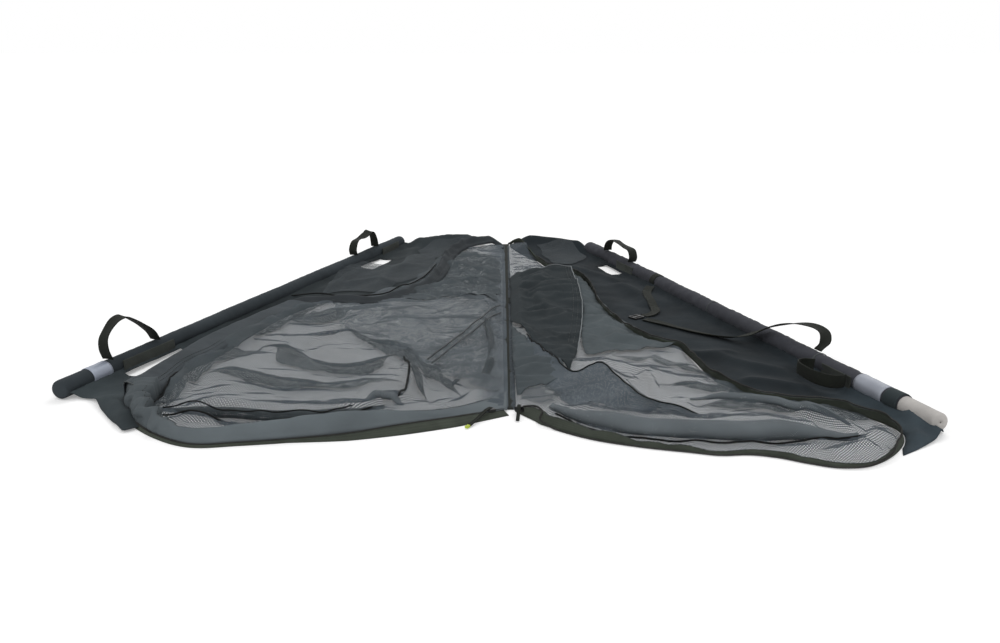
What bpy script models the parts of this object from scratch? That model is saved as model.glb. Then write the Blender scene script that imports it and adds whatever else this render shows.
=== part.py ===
"""Retainer sling: a mesh sling with a zip round three sides, opened flat like a book.

The keel seam lies along Y at x = 0 on the floor and the sling's near end is at -Y. Each half
ends in a fabric sleeve that holds a two-piece pole inside foam floats. Units are metres.
"""

import math

import bmesh
import bpy
from mathutils import Matrix, Vector

# Clearance between neighbouring pieces
GAP = 0.0004

# Keel
KEEL_NEAR = -0.640
KEEL_FAR = 0.600
KEEL_WIDTH = 0.020
KEEL_THICKNESS = 0.002
HINGE_HEIGHT = 0.0025
KEEL_CLEARANCE = 0.004

# Float bars: near end of each sleeve on the floor plan, and the turn about Z from +Y
LEFT_NEAR = (-0.664, -0.598)
LEFT_YAW = math.radians(-18.6)
LEFT_LENGTH = 1.224
RIGHT_NEAR = (0.560, -0.662)
RIGHT_YAW = math.radians(16.9)
RIGHT_LENGTH = 1.195
SLEEVE_RADIUS = 0.0145
SLEEVE_WALL = 0.0008
FLOAT_RADIUS = 0.0132
FLOAT_BORE = 0.0066
POLE_RADIUS = 0.0062
POLE_BORE = 0.0050
PLUG_RADIUS = 0.0046
SPIGOT_LENGTH = 0.120
JOINT_SPACE = 0.006
RIGHT_FLOAT_OUT = 0.072
POLE_INSET = 0.004
PLUG_LENGTH = 0.020
END_PATCH = 0.003
RING_CLEARANCE = 0.0014
AXIS_HEIGHT = SLEEVE_RADIUS + RING_CLEARANCE

# Fabrics
CLOTH = 0.0009
WEBBING = 0.0014
WEBBING_WIDTH = 0.020
COIL_RADIUS = 0.0015
SKIRT_THICKNESS = 0.0009
SKIRT_HEIGHT = 0.0001
HAND_HOLE_INSET = 0.021

# Steepest rise away from the keel that lets both halves fold up together
FOLD_SLOPE = 0.30
FOLD_BASE = 0.0026

# Rails of the zip rim: x, y and the height of the coil above the floor
LEFT_COIL = [
    (-0.009, -0.6490, 0.0050), (-0.034, -0.6640, 0.0065), (-0.059, -0.6790, 0.0080),
    (-0.084, -0.6940, 0.0095), (-0.150, -0.7210, 0.0095),
    (-0.215, -0.7420, 0.0060), (-0.279, -0.7560, 0.0045), (-0.356, -0.7700, 0.0040),
    (-0.419, -0.7760, 0.0040), (-0.477, -0.7420, 0.0045), (-0.531, -0.6830, 0.0060),
    (-0.566, -0.6150, 0.0070), (-0.564, -0.5160, 0.0060), (-0.548, -0.4160, 0.0050),
    (-0.524, -0.2890, 0.0040), (-0.486, -0.1800, 0.0040), (-0.444, -0.0540, 0.0040),
]
LEFT_CORNER = 11
LEFT_BAND_TOP = [0.0042, 0.0120, 0.0200, 0.0290, 0.0330, 0.0300, 0.0250, 0.0220, 0.0210, 0.0270,
                 0.0340, 0.0360]
LEFT_TAPE_SPREAD = [0.016, 0.016, 0.016, 0.014, 0.005, 0.0045, 0.0045, 0.0045, 0.0045, 0.0045,
                    0.0045, 0.0045, 0.0045, 0.0045, 0.0045, 0.0045, 0.0045]
LEFT_SIDE_INNER = [
    (-0.524, -0.5960, 0.016), (-0.514, -0.5400, 0.014), (-0.512, -0.4500, 0.013),
    (-0.494, -0.3430, 0.012), (-0.464, -0.2280, 0.011), (-0.402, -0.0960, 0.010),
]
LEFT_FAR_FOLD = [
    (-0.434, -0.030, 0.010), (-0.360, -0.015, 0.012), (-0.267, -0.023, 0.014),
    (-0.203, 0.056, 0.016), (-0.158, 0.181, 0.020), (-0.142, 0.404, 0.022),
    (-0.108, 0.520, 0.016), (-0.046, 0.588, 0.010),
]
RIGHT_RIM = [
    (0.009, -0.650, 0.0010), (0.022, -0.668, 0.0010), (0.035, -0.686, 0.0010),
    (0.048, -0.704, 0.0010), (0.106, -0.750, 0.0010),
    (0.169, -0.778, 0.0010), (0.232, -0.796, 0.0010), (0.268, -0.806, 0.0010),
    (0.307, -0.804, 0.0012), (0.343, -0.814, 0.0012), (0.375, -0.832, 0.0010),
    (0.410, -0.846, 0.0010), (0.447, -0.843, 0.0010), (0.487, -0.812, 0.0012),
    (0.520, -0.765, 0.0016), (0.527, -0.722, 0.0016), (0.505, -0.678, 0.0016),
    (0.465, -0.634, 0.0016), (0.410, -0.618, 0.0016), (0.367, -0.602, 0.0016),
    (0.341, -0.555, 0.0016), (0.318, -0.492, 0.0016), (0.308, -0.412, 0.0016),
    (0.298, -0.350, 0.0016), (0.278, -0.325, 0.0016), (0.248, -0.300, 0.0016),
    (0.216, -0.215, 0.0016), (0.188, -0.050, 0.0016), (0.184, 0.095, 0.0016),
    (0.164, 0.200, 0.0016), (0.125, 0.262, 0.0016), (0.097, 0.310, 0.0016),
    (0.078, 0.380, 0.0016),
]
RIGHT_RIM_CORNER = 14
RIGHT_TAPE_HEIGHT = 0.0165
RIGHT_TAPE_LEAN = 0.0035

# Left rim: the tape's edges, and how far the bands' rails stand out from the coil
LEFT_TAPE_THICKNESS = 0.0008
LEFT_TAPE_FOOT = 0.0004
LEFT_TAPE_DROP = 0.0010
LEFT_TAPE_SPACE = 0.0021
FRONT_LOW_OUT = 0.0065
FRONT_LOW_UP = 0.0052
FRONT_TOP_OUT = 0.0095
FRONT_FIRST = 9
SIDE_FIRST = 4
SIDE_LOW_OUT = 0.0045
SIDE_LOW_HEIGHT = 0.0022
SIDE_TOP_OUT = 0.0090
SIDE_TOP_HEIGHT = 0.0215
FAR_LOW_OUT = 0.0060
FAR_LOW_HEIGHT = 0.0024
FAR_INSIDE = 0.0120
FAR_INSIDE_SHARE = 0.6

# Clear space from the rims to the mesh inside them and to the skirts outside them
KEEL_END_INSET = 0.006
LEFT_MESH_END = 0.560
FRONT_MESH_INSET = 0.0125
SIDE_MESH_INSET = 0.0030
FAR_MESH_INSET = 0.0165
LEFT_SKIRT_SPACE = 0.0100
FAR_SKIRT_SPACE = 0.0120
RIGHT_MESH_INSET = 0.0070
RIGHT_SKIRT_SPACE = 0.0060
SKIRT_OVERLAP = 0.003

# Outlines of the skirts beyond the rim: near tips, far edges and the run to the keel
LEFT_SKIRT_NEAR = [(-0.648, -0.592), (-0.612, -0.608), (-0.584, -0.650), (-0.553, -0.694),
                   (-0.524, -0.730)]
LEFT_SKIRT_FAR = [(-0.262, 0.556), (-0.171, 0.600), (-0.110, 0.612), (-0.054, 0.606)]
RIGHT_SKIRT_NEAR = [(0.546, -0.668), (0.580, -0.700), (0.588, -0.722), (0.578, -0.746),
                    (0.548, -0.774), (0.502, -0.808)]
RIGHT_SKIRT_FAR = [(0.202, 0.488), (0.120, 0.562), (0.060, 0.596), (0.012, 0.600)]
RIGHT_MESH_FAR = [(0.066, 0.425), (0.046, 0.500), (0.006, 0.575)]
RIGHT_SKIRT_KEEL = [(0.074, 0.420), (0.044, 0.500), (0.014, 0.562)]

# Hand holes: start and end along each bar, and the width at each of those ends
LEFT_HOLES = ((0.118, 0.262, 0.024, 0.008), (0.950, 1.064, 0.034, 0.030))
RIGHT_HOLES = ((0.096, 0.176, 0.026, 0.022), (0.952, 1.066, 0.034, 0.030))

# Webbing on the sleeve by the hand holes: start and end along each bar
LEFT_HOLE_WEBBING = ((0.122, 0.252), (1.084, 1.180))
RIGHT_HOLE_WEBBING = ((0.104, 0.178), (0.900, 0.990))

# Bands round the sleeves: start along the bar and length
LEFT_BAND_PLACE = (0.058, 0.042)
RIGHT_BAND_PLACE = (0.036, 0.064)
CUFF_PLACE = (0.002, 0.030)
STRAP_WRAP_PLACE = (0.792, 0.022)

# Handle loops: distance along the bar and distance from the bar's axis
LEFT_NEAR_LOOP = [(0.108, 0.0156), (0.101, 0.034), (0.104, 0.053), (0.127, 0.071), (0.147, 0.075),
                  (0.160, 0.071), (0.190, 0.052), (0.214, 0.033), (0.226, 0.0156)]
LEFT_FAR_LOOP = [(0.962, 0.0156), (0.958, 0.030), (0.972, 0.047), (1.004, 0.049), (1.032, 0.054),
                 (1.048, 0.058), (1.062, 0.051), (1.072, 0.033), (1.076, 0.0156)]
RIGHT_FAR_LOOP = [(0.940, 0.0156), (0.934, 0.027), (0.944, 0.041), (0.972, 0.043), (1.006, 0.045),
                  (1.040, 0.047), (1.066, 0.039), (1.078, 0.027), (1.080, 0.0156)]
RIGHT_NEAR_LOOP = [(0.112, 0.0200), (0.106, 0.036), (0.110, 0.052), (0.130, 0.062), (0.160, 0.062),
                   (0.184, 0.056), (0.196, 0.040), (0.192, 0.0200)]
RIGHT_NEAR_TILT = math.radians(70.0)

# Carry strap: the short end from its wrap, and the long end that rises over the bar
SHORT_STRAP = [
    (0.3060, 0.072, 0.0140), (0.2950, 0.044, 0.0090), (0.2900, 0.000, 0.0052),
    (0.2930, -0.055, 0.0045), (0.2920, -0.095, 0.0045), (0.2800, -0.122, 0.0045),
    (0.2640, -0.134, 0.0045),
]
CARRY_STRAP = [
    (0.2620, -0.158, 0.0045), (0.2900, -0.186, 0.0045), (0.3180, -0.220, 0.0045),
    (0.3500, -0.256, 0.0050), (0.3900, -0.296, 0.0090), (0.4240, -0.326, 0.0240),
    (0.4500, -0.352, 0.0440), (0.4790, -0.378, 0.0570), (0.5030, -0.404, 0.0610),
    (0.5150, -0.428, 0.0570), (0.5120, -0.446, 0.0450), (0.4990, -0.452, 0.0330),
]
ADJUSTER_PLACE = (0.248, -0.146, 0.0050)
ADJUSTER_YAW = math.radians(38.0)
ADJUSTER_SIZE = (0.024, 0.020, 0.0030)
STRAP_WIDTH = 0.018

# Zip sliders: distance from the keel along each coil, and their travel along its straight run
LEFT_SLIDER_AT = 0.020
RIGHT_SLIDER_AT = 0.007
SLIDER_SIZE = (0.0086, 0.0110, 0.0072)
CHANNEL = 0.0042
SLIT = 0.0032
PULL_WIDTH = 0.005
PULL_RISE = 0.0024
PULL_THICKNESS = 0.0012
LEFT_PULL_END = (-0.0560, -0.7080, 0.0030)
RIGHT_PULL_END = (0.0110, -0.6880, 0.0026)
PULL_TIP = (0.007, 0.0046, 0.0030)

# Limits of the folds that rise out of each mesh panel: start, end, height and half width
LEFT_FOLDS = [
    ((-0.470, -0.690), (-0.230, -0.695), 0.020, 0.024),
    ((-0.440, -0.480), (-0.240, -0.505), 0.011, 0.026),
    ((-0.400, -0.380), (-0.150, -0.420), 0.012, 0.030),
    ((-0.160, -0.600), (-0.150, -0.440), 0.014, 0.026),
    ((-0.120, -0.430), (-0.030, -0.120), 0.006, 0.020),
    ((-0.380, -0.200), (-0.180, -0.160), 0.012, 0.034),
    ((-0.240, 0.040), (-0.060, 0.060), 0.010, 0.034),
]
RIGHT_FOLDS = [
    ((0.080, -0.700), (0.470, -0.770), 0.020, 0.022),
    ((0.400, -0.700), (0.480, -0.725), 0.012, 0.022),
    ((0.190, -0.560), (0.300, -0.520), 0.011, 0.026),
    ((0.210, -0.420), (0.270, -0.400), 0.009, 0.026),
    ((0.240, -0.640), (0.400, -0.670), 0.012, 0.026),
]
MESH_BASE = 0.0024

# Right base panel: far and near heights of its free edge
PANEL_RISE = 0.026
PANEL_FAR = 0.180
PANEL_NEAR_LEFT = -0.185
PANEL_NEAR_RIGHT = -0.480
PANEL_CLEARANCE = 0.0022
FLAP_CLEARANCE = 0.0075
FLAP_EDGE = [
    (0.034, -0.300, 0.004), (0.062, -0.392, 0.012), (0.099, -0.506, 0.015),
    (0.129, -0.498, 0.022), (0.147, -0.490, 0.024), (0.170, -0.560, 0.020),
    (0.190, -0.625, 0.018), (0.206, -0.662, 0.022), (0.247, -0.676, 0.026),
]
FLAP_ROOT = [
    (0.034, -0.400, 0.0), (0.050, -0.520, 0.0), (0.078, -0.610, 0.0), (0.110, -0.640, 0.0),
    (0.150, -0.660, 0.0), (0.200, -0.682, 0.0), (0.240, -0.694, 0.0),
]
BINDING_RADIUS = 0.0013
BINDING_SPACE = 0.0012

# Spacing of the cloth grids, and of the points along a rim
LEFT_MESH_GRID = 0.040
RIGHT_MESH_GRID = 0.037
RIM_STEP = 0.028
LEFT_COIL_STEPS = 56
RIGHT_COIL_STEPS = 72
PANEL_STEPS = (8, 14)
FLAP_STEPS = (26, 4)

COLLECTION = "retainer_sling"
CUTTERS = "cutters"

DARK_CLOTH = ("sleeve_cloth", (0.032, 0.037, 0.043), 0.85, 0.0)
BAND_CLOTH = ("band_cloth", (0.085, 0.100, 0.112), 0.80, 0.0)
MESH_CLOTH = ("mesh_cloth", (0.120, 0.135, 0.140), 0.90, 0.0)
BASE_CLOTH = ("base_cloth", (0.048, 0.060, 0.062), 0.85, 0.0)
OLIVE_TAPE = ("olive_tape", (0.040, 0.048, 0.030), 0.85, 0.0)
WEBBING_BLACK = ("webbing_black", (0.012, 0.013, 0.012), 0.80, 0.0)
COIL_GREY = ("coil_grey", (0.090, 0.085, 0.070), 0.50, 0.0)
REFLECTIVE = ("reflective_grey", (0.420, 0.420, 0.480), 0.45, 0.1)
PALE_FOAM = ("pale_foam", (0.400, 0.380, 0.360), 0.85, 0.0)
POLE_ALLOY = ("pole_alloy", (0.300, 0.300, 0.310), 0.35, 1.0)
PLUG_PLASTIC = ("plug_plastic", (0.015, 0.015, 0.016), 0.50, 0.0)
SLIDER_METAL = ("slider_metal", (0.050, 0.050, 0.052), 0.35, 1.0)
PULL_PLASTIC = ("pull_plastic", (0.420, 0.520, 0.030), 0.50, 0.0)


def clear_scene():
    for item in list(bpy.data.objects):
        bpy.data.objects.remove(item, do_unlink=True)


def new_collection(name):
    group = bpy.data.collections.get(name) or bpy.data.collections.new(name)
    if group.name not in bpy.context.scene.collection.children:
        bpy.context.scene.collection.children.link(group)
    return group


def material(spec):
    name, colour, roughness, metallic = spec
    made = bpy.data.materials.get(name) or bpy.data.materials.new(name)
    made.use_nodes = True
    shader = made.node_tree.nodes["Principled BSDF"]
    shader.inputs["Base Color"].default_value = (*colour, 1.0)
    shader.inputs["Roughness"].default_value = roughness
    shader.inputs["Metallic"].default_value = metallic
    made.diffuse_color = (*colour, 1.0)
    return made


def add_object(name, data, spec, body):
    """Links a piece to the part's collection under the empty of its body."""
    piece = bpy.data.objects.new(name, data)
    bpy.data.collections[COLLECTION].objects.link(piece)
    piece.data.materials.append(material(spec))
    if body is not None:
        ride(piece, body)
    return piece


def world_location(body):
    """Where an empty stands: the sum of the places above it, as no empty is turned."""
    place = Vector(body.location)
    while body.parent is not None:
        body = body.parent
        place += body.location
    return place


def ride(child, body):
    """Parents an object to a body's empty and keeps it where it is."""
    child.parent = body
    child.matrix_parent_inverse = Matrix.Translation(-world_location(body))


def add_body(name, position, parent=None):
    """An empty on a joint's axis, which carries the pieces that move together."""
    empty = bpy.data.objects.new(name, None)
    empty.location = position
    empty.empty_display_size = 0.03
    bpy.data.collections[COLLECTION].objects.link(empty)
    if parent is not None:
        empty.parent = parent
        empty.location = Vector(position) - world_location(parent)
    return empty


def spline_point(points, t):
    """Catmull-Rom point at parameter t, which runs from 0 to the number of spans."""
    last = len(points) - 1
    span = min(int(t), last - 1)
    f = t - span
    p0 = points[max(span - 1, 0)]
    p1 = points[span]
    p2 = points[span + 1]
    p3 = points[min(span + 2, last)]
    return 0.5 * (2 * p1 + (p2 - p0) * f + (2 * p0 - 5 * p1 + 4 * p2 - p3) * f * f
                  + (3 * p1 - p0 - 3 * p2 + p3) * f ** 3)


def smooth(points, per_span=6):
    """A dense smooth path through hand-placed points."""
    knots = [Vector(p) for p in points]
    count = (len(knots) - 1) * per_span
    return [spline_point(knots, i / per_span) for i in range(count + 1)]


def smooth_values(values, per_span=6):
    return [point.x for point in smooth([(value, 0.0, 0.0) for value in values], per_span)]


def path_length(path):
    return sum((b - a).length for a, b in zip(path, path[1:]))


def resample(path, count):
    """The same path with count + 1 evenly spaced points."""
    lengths = [0.0]
    for a, b in zip(path, path[1:]):
        lengths.append(lengths[-1] + (b - a).length)
    result = []
    k = 0
    for i in range(count + 1):
        target = lengths[-1] * i / count
        while k < len(path) - 2 and lengths[k + 1] < target:
            k += 1
        span = lengths[k + 1] - lengths[k]
        f = (target - lengths[k]) / span if span > 0 else 0.0
        result.append(path[k].lerp(path[k + 1], min(max(f, 0.0), 1.0)))
    return result


def travel(path, i):
    """Unit direction of a path on the floor plan at one of its points."""
    a = path[max(i - 1, 0)]
    b = path[min(i + 1, len(path) - 1)]
    run = Vector((b.x - a.x, b.y - a.y, 0.0))
    return run.normalized()


def to_right(direction):
    return Vector((direction.y, -direction.x, 0.0))


def offset(path, sideways, up=0.0):
    """The path moved to the right of its travel on the plan, and raised."""
    lift = Vector((0.0, 0.0, up))
    return [point + to_right(travel(path, i)) * sideways + lift for i, point in enumerate(path)]


def at_height(path, height):
    return [Vector((point.x, point.y, height)) for point in path]


def segment_distance(x, y, start, end):
    ax, ay = start
    bx, by = end
    dx = bx - ax
    dy = by - ay
    t = ((x - ax) * dx + (y - ay) * dy) / (dx * dx + dy * dy)
    t = min(max(t, 0.0), 1.0)
    return math.hypot(x - ax - t * dx, y - ay - t * dy)


def fold_limit(x):
    """Greatest height that clears the other half when both are folded up."""
    return FOLD_BASE + FOLD_SLOPE * max(abs(x) - KEEL_CLEARANCE, 0.0)


def mesh_height(x, y, folds):
    height = MESH_BASE
    for start, end, rise, width in folds:
        distance = segment_distance(x, y, start, end)
        height += rise * math.exp(-((distance / width) ** 2))
    return min(height, fold_limit(x))


def thicken(piece, thickness, side):
    solid = piece.modifiers.new("Thickness", "SOLIDIFY")
    solid.thickness = thickness
    solid.offset = side


def sheet(name, surface, steps, thickness, spec, body, side=1.0):
    """A cloth sheet: a grid laid on surface(u, v), face up, and thickened."""
    nu, nv = steps
    mesh = bpy.data.meshes.new(name)
    bm = bmesh.new()
    bmesh.ops.create_grid(bm, x_segments=nu, y_segments=nv, size=0.5)
    for vert in bm.verts:
        vert.co = surface(vert.co.x + 0.5, vert.co.y + 0.5)
    bm.normal_update()
    facing = sum(face.normal.z * face.calc_area() for face in bm.faces)
    if facing < 0:
        bmesh.ops.reverse_faces(bm, faces=bm.faces)
    bm.to_mesh(mesh)
    bm.free()
    mesh.shade_smooth()
    piece = add_object(name, mesh, spec, body)
    thicken(piece, thickness, side)
    return piece


def rail_strip(name, rails, thickness, spec, body, step=RIM_STEP, side=1.0):
    """A ribbon lofted across two or more rails that run side by side."""
    count = max(2, round(path_length(rails[0]) / step))
    rows = [resample(rail, count) for rail in rails]
    spans = len(rows) - 1

    def surface(u, v):
        return rows[round(v * spans)][round(u * count)]

    return sheet(name, surface, (count, spans), thickness, spec, body, side)


def coons(near, far, start, end):
    """Surface over four edges: near and far run with u, start and end run with v."""

    def at(path, t):
        scaled = t * (len(path) - 1)
        k = min(int(scaled), len(path) - 2)
        return path[k].lerp(path[k + 1], scaled - k)

    def surface(u, v):
        across = at(near, u) * (1 - v) + at(far, u) * v
        along = at(start, v) * (1 - u) + at(end, v) * u
        low = near[0] * (1 - u) + near[-1] * u
        high = far[0] * (1 - u) + far[-1] * u
        return across + along - low * (1 - v) - high * v

    return surface


def outline_curve(name, outlines, thickness):
    """A flat filled outline, with any holes as further outlines."""
    curve = bpy.data.curves.new(name, "CURVE")
    curve.dimensions = "2D"
    curve.fill_mode = "BOTH"
    curve.extrude = thickness / 2
    for outline in outlines:
        spline = curve.splines.new("POLY")
        spline.points.add(len(outline) - 1)
        for target, point in zip(spline.points, outline):
            target.co = (point.x, point.y, 0.0, 1.0)
        spline.use_cyclic_u = True
    return curve


def cutter_object(name, data):
    tool = bpy.data.objects.new(name, data)
    bpy.data.collections[CUTTERS].objects.link(tool)
    tool.hide_render = True
    tool.display_type = "WIRE"
    return tool


def box_mesh(name, size):
    mesh = bpy.data.meshes.new(name)
    bm = bmesh.new()
    bmesh.ops.create_cube(bm, size=1.0)
    bmesh.ops.scale(bm, vec=size, verts=bm.verts)
    bm.to_mesh(mesh)
    bm.free()
    return mesh


def box(name, size, spec, body):
    return add_object(name, box_mesh(name, size), spec, body)


def box_cutter(name, size, matrix):
    tool = cutter_object(name, box_mesh(name, size))
    tool.matrix_world = matrix
    return tool


def outline_cutter(name, outline, height):
    """A prism over an outline, made a mesh so that it can cut."""
    source = cutter_object(name + "_outline", outline_curve(name, [outline], height))
    bpy.context.view_layer.update()
    graph = bpy.context.evaluated_depsgraph_get()
    mesh = bpy.data.meshes.new_from_object(source.evaluated_get(graph), depsgraph=graph)
    bm = bmesh.new()
    bm.from_mesh(mesh)
    bmesh.ops.remove_doubles(bm, verts=bm.verts, dist=0.00001)
    bmesh.ops.recalc_face_normals(bm, faces=bm.faces)
    bm.to_mesh(mesh)
    bm.free()
    tool = cutter_object(name, mesh)
    tool.matrix_world = source.matrix_world
    bpy.data.objects.remove(source, do_unlink=True)
    return tool


def combine(piece, tool, operation="DIFFERENCE"):
    boolean = piece.modifiers.new(tool.name, "BOOLEAN")
    boolean.operation = operation
    boolean.object = tool


def cloth_in_outline(name, outline, height, grid, spec, body):
    """Cloth with folds: a square grid raised to height(x, y) and trimmed to an outline."""
    xs = [point.x for point in outline]
    ys = [point.y for point in outline]
    nx = math.ceil((max(xs) - min(xs)) / grid) + 2
    ny = math.ceil((max(ys) - min(ys)) / grid) + 2
    middle = ((max(xs) + min(xs)) / 2, (max(ys) + min(ys)) / 2)

    def surface(u, v):
        x = middle[0] + (u - 0.5) * nx * grid
        y = middle[1] + (v - 0.5) * ny * grid
        return Vector((x, y, height(x, y)))

    piece = sheet(name, surface, (nx, ny), CLOTH, spec, body)
    combine(piece, outline_cutter(name + "_trim", outline, 0.2), "INTERSECT")
    return piece


def turned(name, profile, closed, spec, body, segments=20):
    """A turned piece about its local Z; the profile runs down its outer side."""
    mesh = bpy.data.meshes.new(name)
    bm = bmesh.new()
    verts = [bm.verts.new((r, 0.0, z)) for r, z in profile]
    for a, b in zip(verts, verts[1:]):
        bm.edges.new((a, b))
    if closed:
        bm.edges.new((verts[-1], verts[0]))
    bm.to_mesh(mesh)
    bm.free()
    piece = add_object(name, mesh, spec, body)
    screw = piece.modifiers.new("Turn", "SCREW")
    screw.steps = segments
    screw.render_steps = segments
    screw.use_merge_vertices = True
    screw.merge_threshold = 0.00005
    screw.use_smooth_shade = True
    return piece


def pipe(name, outer, inner, length, spec, body, edge=0.0006, segments=20):
    profile = [
        (outer - edge, length), (outer, length - edge), (outer, edge), (outer - edge, 0.0),
        (inner, 0.0), (inner, length),
    ]
    return turned(name, profile, True, spec, body, segments)


def rod(name, radius, length, spec, body, edge=0.0005, segments=16):
    profile = [
        (0.0, length), (radius - edge, length), (radius, length - edge), (radius, edge),
        (radius - edge, 0.0), (0.0, 0.0),
    ]
    return turned(name, profile, False, spec, body, segments)


def tube(name, path, radius, spec, body, resolution=1):
    """A coil or cord: a round tube along a path, with closed ends."""
    curve = bpy.data.curves.new(name, "CURVE")
    curve.dimensions = "3D"
    curve.bevel_depth = radius
    curve.bevel_resolution = resolution
    curve.use_fill_caps = True
    spline = curve.splines.new("POLY")
    spline.points.add(len(path) - 1)
    for target, point in zip(spline.points, path):
        target.co = (*point, 1.0)
    return add_object(name, curve, spec, body)


class Bar:
    """The line of one float bar, with places measured along it and in from it."""

    def __init__(self, near, yaw, length, side):
        self.near = Vector((*near, AXIS_HEIGHT))
        self.yaw = yaw
        self.length = length
        self.along = Vector((-math.sin(yaw), math.cos(yaw), 0.0))
        self.inward = -side * Vector((math.cos(yaw), math.sin(yaw), 0.0))

    def point(self, along, inward=0.0, height=AXIS_HEIGHT):
        place = self.near + self.along * along + self.inward * inward
        place.z = height
        return place

    def lay(self, piece, along):
        """Lays a piece that was turned about its own Z along the bar."""
        piece.location = self.point(along)
        piece.rotation_euler = (math.radians(-90.0), 0.0, self.yaw)

    def strip(self, inward, height, start, end, count):
        return [self.point(start + (end - start) * k / count, inward, height)
                for k in range(count + 1)]


def make_keel():
    length = KEEL_FAR - KEEL_NEAR
    piece = box("keel_binding", (KEEL_WIDTH, length, KEEL_THICKNESS), BAND_CLOTH, None)
    piece.location = (0.0, (KEEL_FAR + KEEL_NEAR) / 2, KEEL_THICKNESS / 2)


def make_sleeve(side, bar, body, closed_near):
    sleeve = pipe(side + "_sleeve", SLEEVE_RADIUS, SLEEVE_RADIUS - SLEEVE_WALL, bar.length,
                  DARK_CLOTH, body, 0.0002, 24)
    bar.lay(sleeve, 0.0)
    far_end = rod(side + "_sleeve_far_end", SLEEVE_RADIUS, END_PATCH, DARK_CLOTH, body, 0.001)
    bar.lay(far_end, bar.length + GAP)
    if closed_near:
        near_end = rod(side + "_sleeve_near_end", SLEEVE_RADIUS, END_PATCH, DARK_CLOTH, body,
                       0.001)
        bar.lay(near_end, -GAP - END_PATCH)


def make_poles(side, bar, near_body, far_body, near_start):
    """Foam floats, the two-piece pole, its spigot and its end plugs."""
    half = bar.length / 2
    far_end = bar.length - POLE_INSET
    near_float = pipe(side + "_float_near", FLOAT_RADIUS, FLOAT_BORE,
                      half - JOINT_SPACE / 2 - near_start, PALE_FOAM, near_body, 0.0015)
    bar.lay(near_float, near_start)
    far_float = pipe(side + "_float_far", FLOAT_RADIUS, FLOAT_BORE,
                     far_end - half - JOINT_SPACE / 2, PALE_FOAM, far_body, 0.0015)
    bar.lay(far_float, half + JOINT_SPACE / 2)
    pole_start = near_start + POLE_INSET / 2
    near_pole = pipe(side + "_pole_near", POLE_RADIUS, POLE_BORE, half - GAP - pole_start,
                     POLE_ALLOY, near_body, 0.0003)
    bar.lay(near_pole, pole_start)
    pole_end = far_end - POLE_INSET / 2
    far_pole = pipe(side + "_pole_far", POLE_RADIUS, POLE_BORE, pole_end - half - GAP,
                    POLE_ALLOY, far_body, 0.0003)
    bar.lay(far_pole, half + GAP)
    spigot = rod(side + "_pole_spigot", PLUG_RADIUS, SPIGOT_LENGTH, POLE_ALLOY, near_body)
    bar.lay(spigot, half - SPIGOT_LENGTH / 2)
    near_plug = rod(side + "_pole_plug_near", PLUG_RADIUS, PLUG_LENGTH, PLUG_PLASTIC, near_body)
    bar.lay(near_plug, pole_start)
    far_plug = rod(side + "_pole_plug_far", PLUG_RADIUS, PLUG_LENGTH, PLUG_PLASTIC, far_body)
    bar.lay(far_plug, pole_end - PLUG_LENGTH)


def make_ring(name, bar, place, spec, body, thickness=CLOTH):
    """A strip sewn round the sleeve."""
    start, length = place
    inner = SLEEVE_RADIUS + GAP
    ring = pipe(name, inner + thickness, inner, length, spec, body, 0.0002, 24)
    bar.lay(ring, start)


def make_hole_webbing(name, bar, place, body):
    """Webbing along the sleeve's flank at a hand hole, standing on its edge."""
    start, end = place
    reach = SLEEVE_RADIUS + GAP + WEBBING / 2 + 0.0003
    low = bar.strip(reach, AXIS_HEIGHT - WEBBING_WIDTH / 2, start, end, 4)
    high = bar.strip(reach, AXIS_HEIGHT + WEBBING_WIDTH / 2, start, end, 4)
    rail_strip(name, [low, high], WEBBING, OLIVE_TAPE, body, 0.04, 0.0)


def make_handle(name, bar, stations, body, tilt=0.0):
    """A webbing loop on a sleeve, in a plane that leans inward by tilt."""
    outward = Vector((0.0, 0.0, math.cos(tilt))) + bar.inward * math.sin(tilt)
    across = bar.inward * math.cos(tilt) - Vector((0.0, 0.0, math.sin(tilt)))
    centre = [bar.point(along) + outward * radius for along, radius in stations]
    path = smooth(centre, 3)
    half = across * (WEBBING_WIDTH / 2)
    rails = [[p - half for p in path], [p + half for p in path]]
    rail_strip(name, rails, WEBBING, WEBBING_BLACK, body, 0.010, 0.0)


def make_strap(name, points, body):
    """Webbing along a free route, level across its width."""
    path = smooth(points, 4)
    rails = [offset(path, -STRAP_WIDTH / 2), offset(path, STRAP_WIDTH / 2)]
    rail_strip(name, rails, WEBBING, WEBBING_BLACK, body, 0.014, 0.0)


def make_adjuster(name, body):
    """A ladder-lock adjuster: a small frame with a window for each strap."""
    length, width, thickness = ADJUSTER_SIZE
    frame = box(name, ADJUSTER_SIZE, SLIDER_METAL, body)
    place = Matrix.Translation(ADJUSTER_PLACE) @ Matrix.Rotation(ADJUSTER_YAW, 4, "Z")
    frame.location = ADJUSTER_PLACE
    frame.rotation_euler = (0.0, 0.0, ADJUSTER_YAW)
    for k, shift in enumerate((-1.0, 1.0)):
        window = Matrix.Translation((0.0, shift * width / 4, 0.0))
        size = (length - 0.005, width / 2 - 0.004, thickness * 3)
        combine(frame, box_cutter(f"{name}_window_{k}", size, place @ window))


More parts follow.
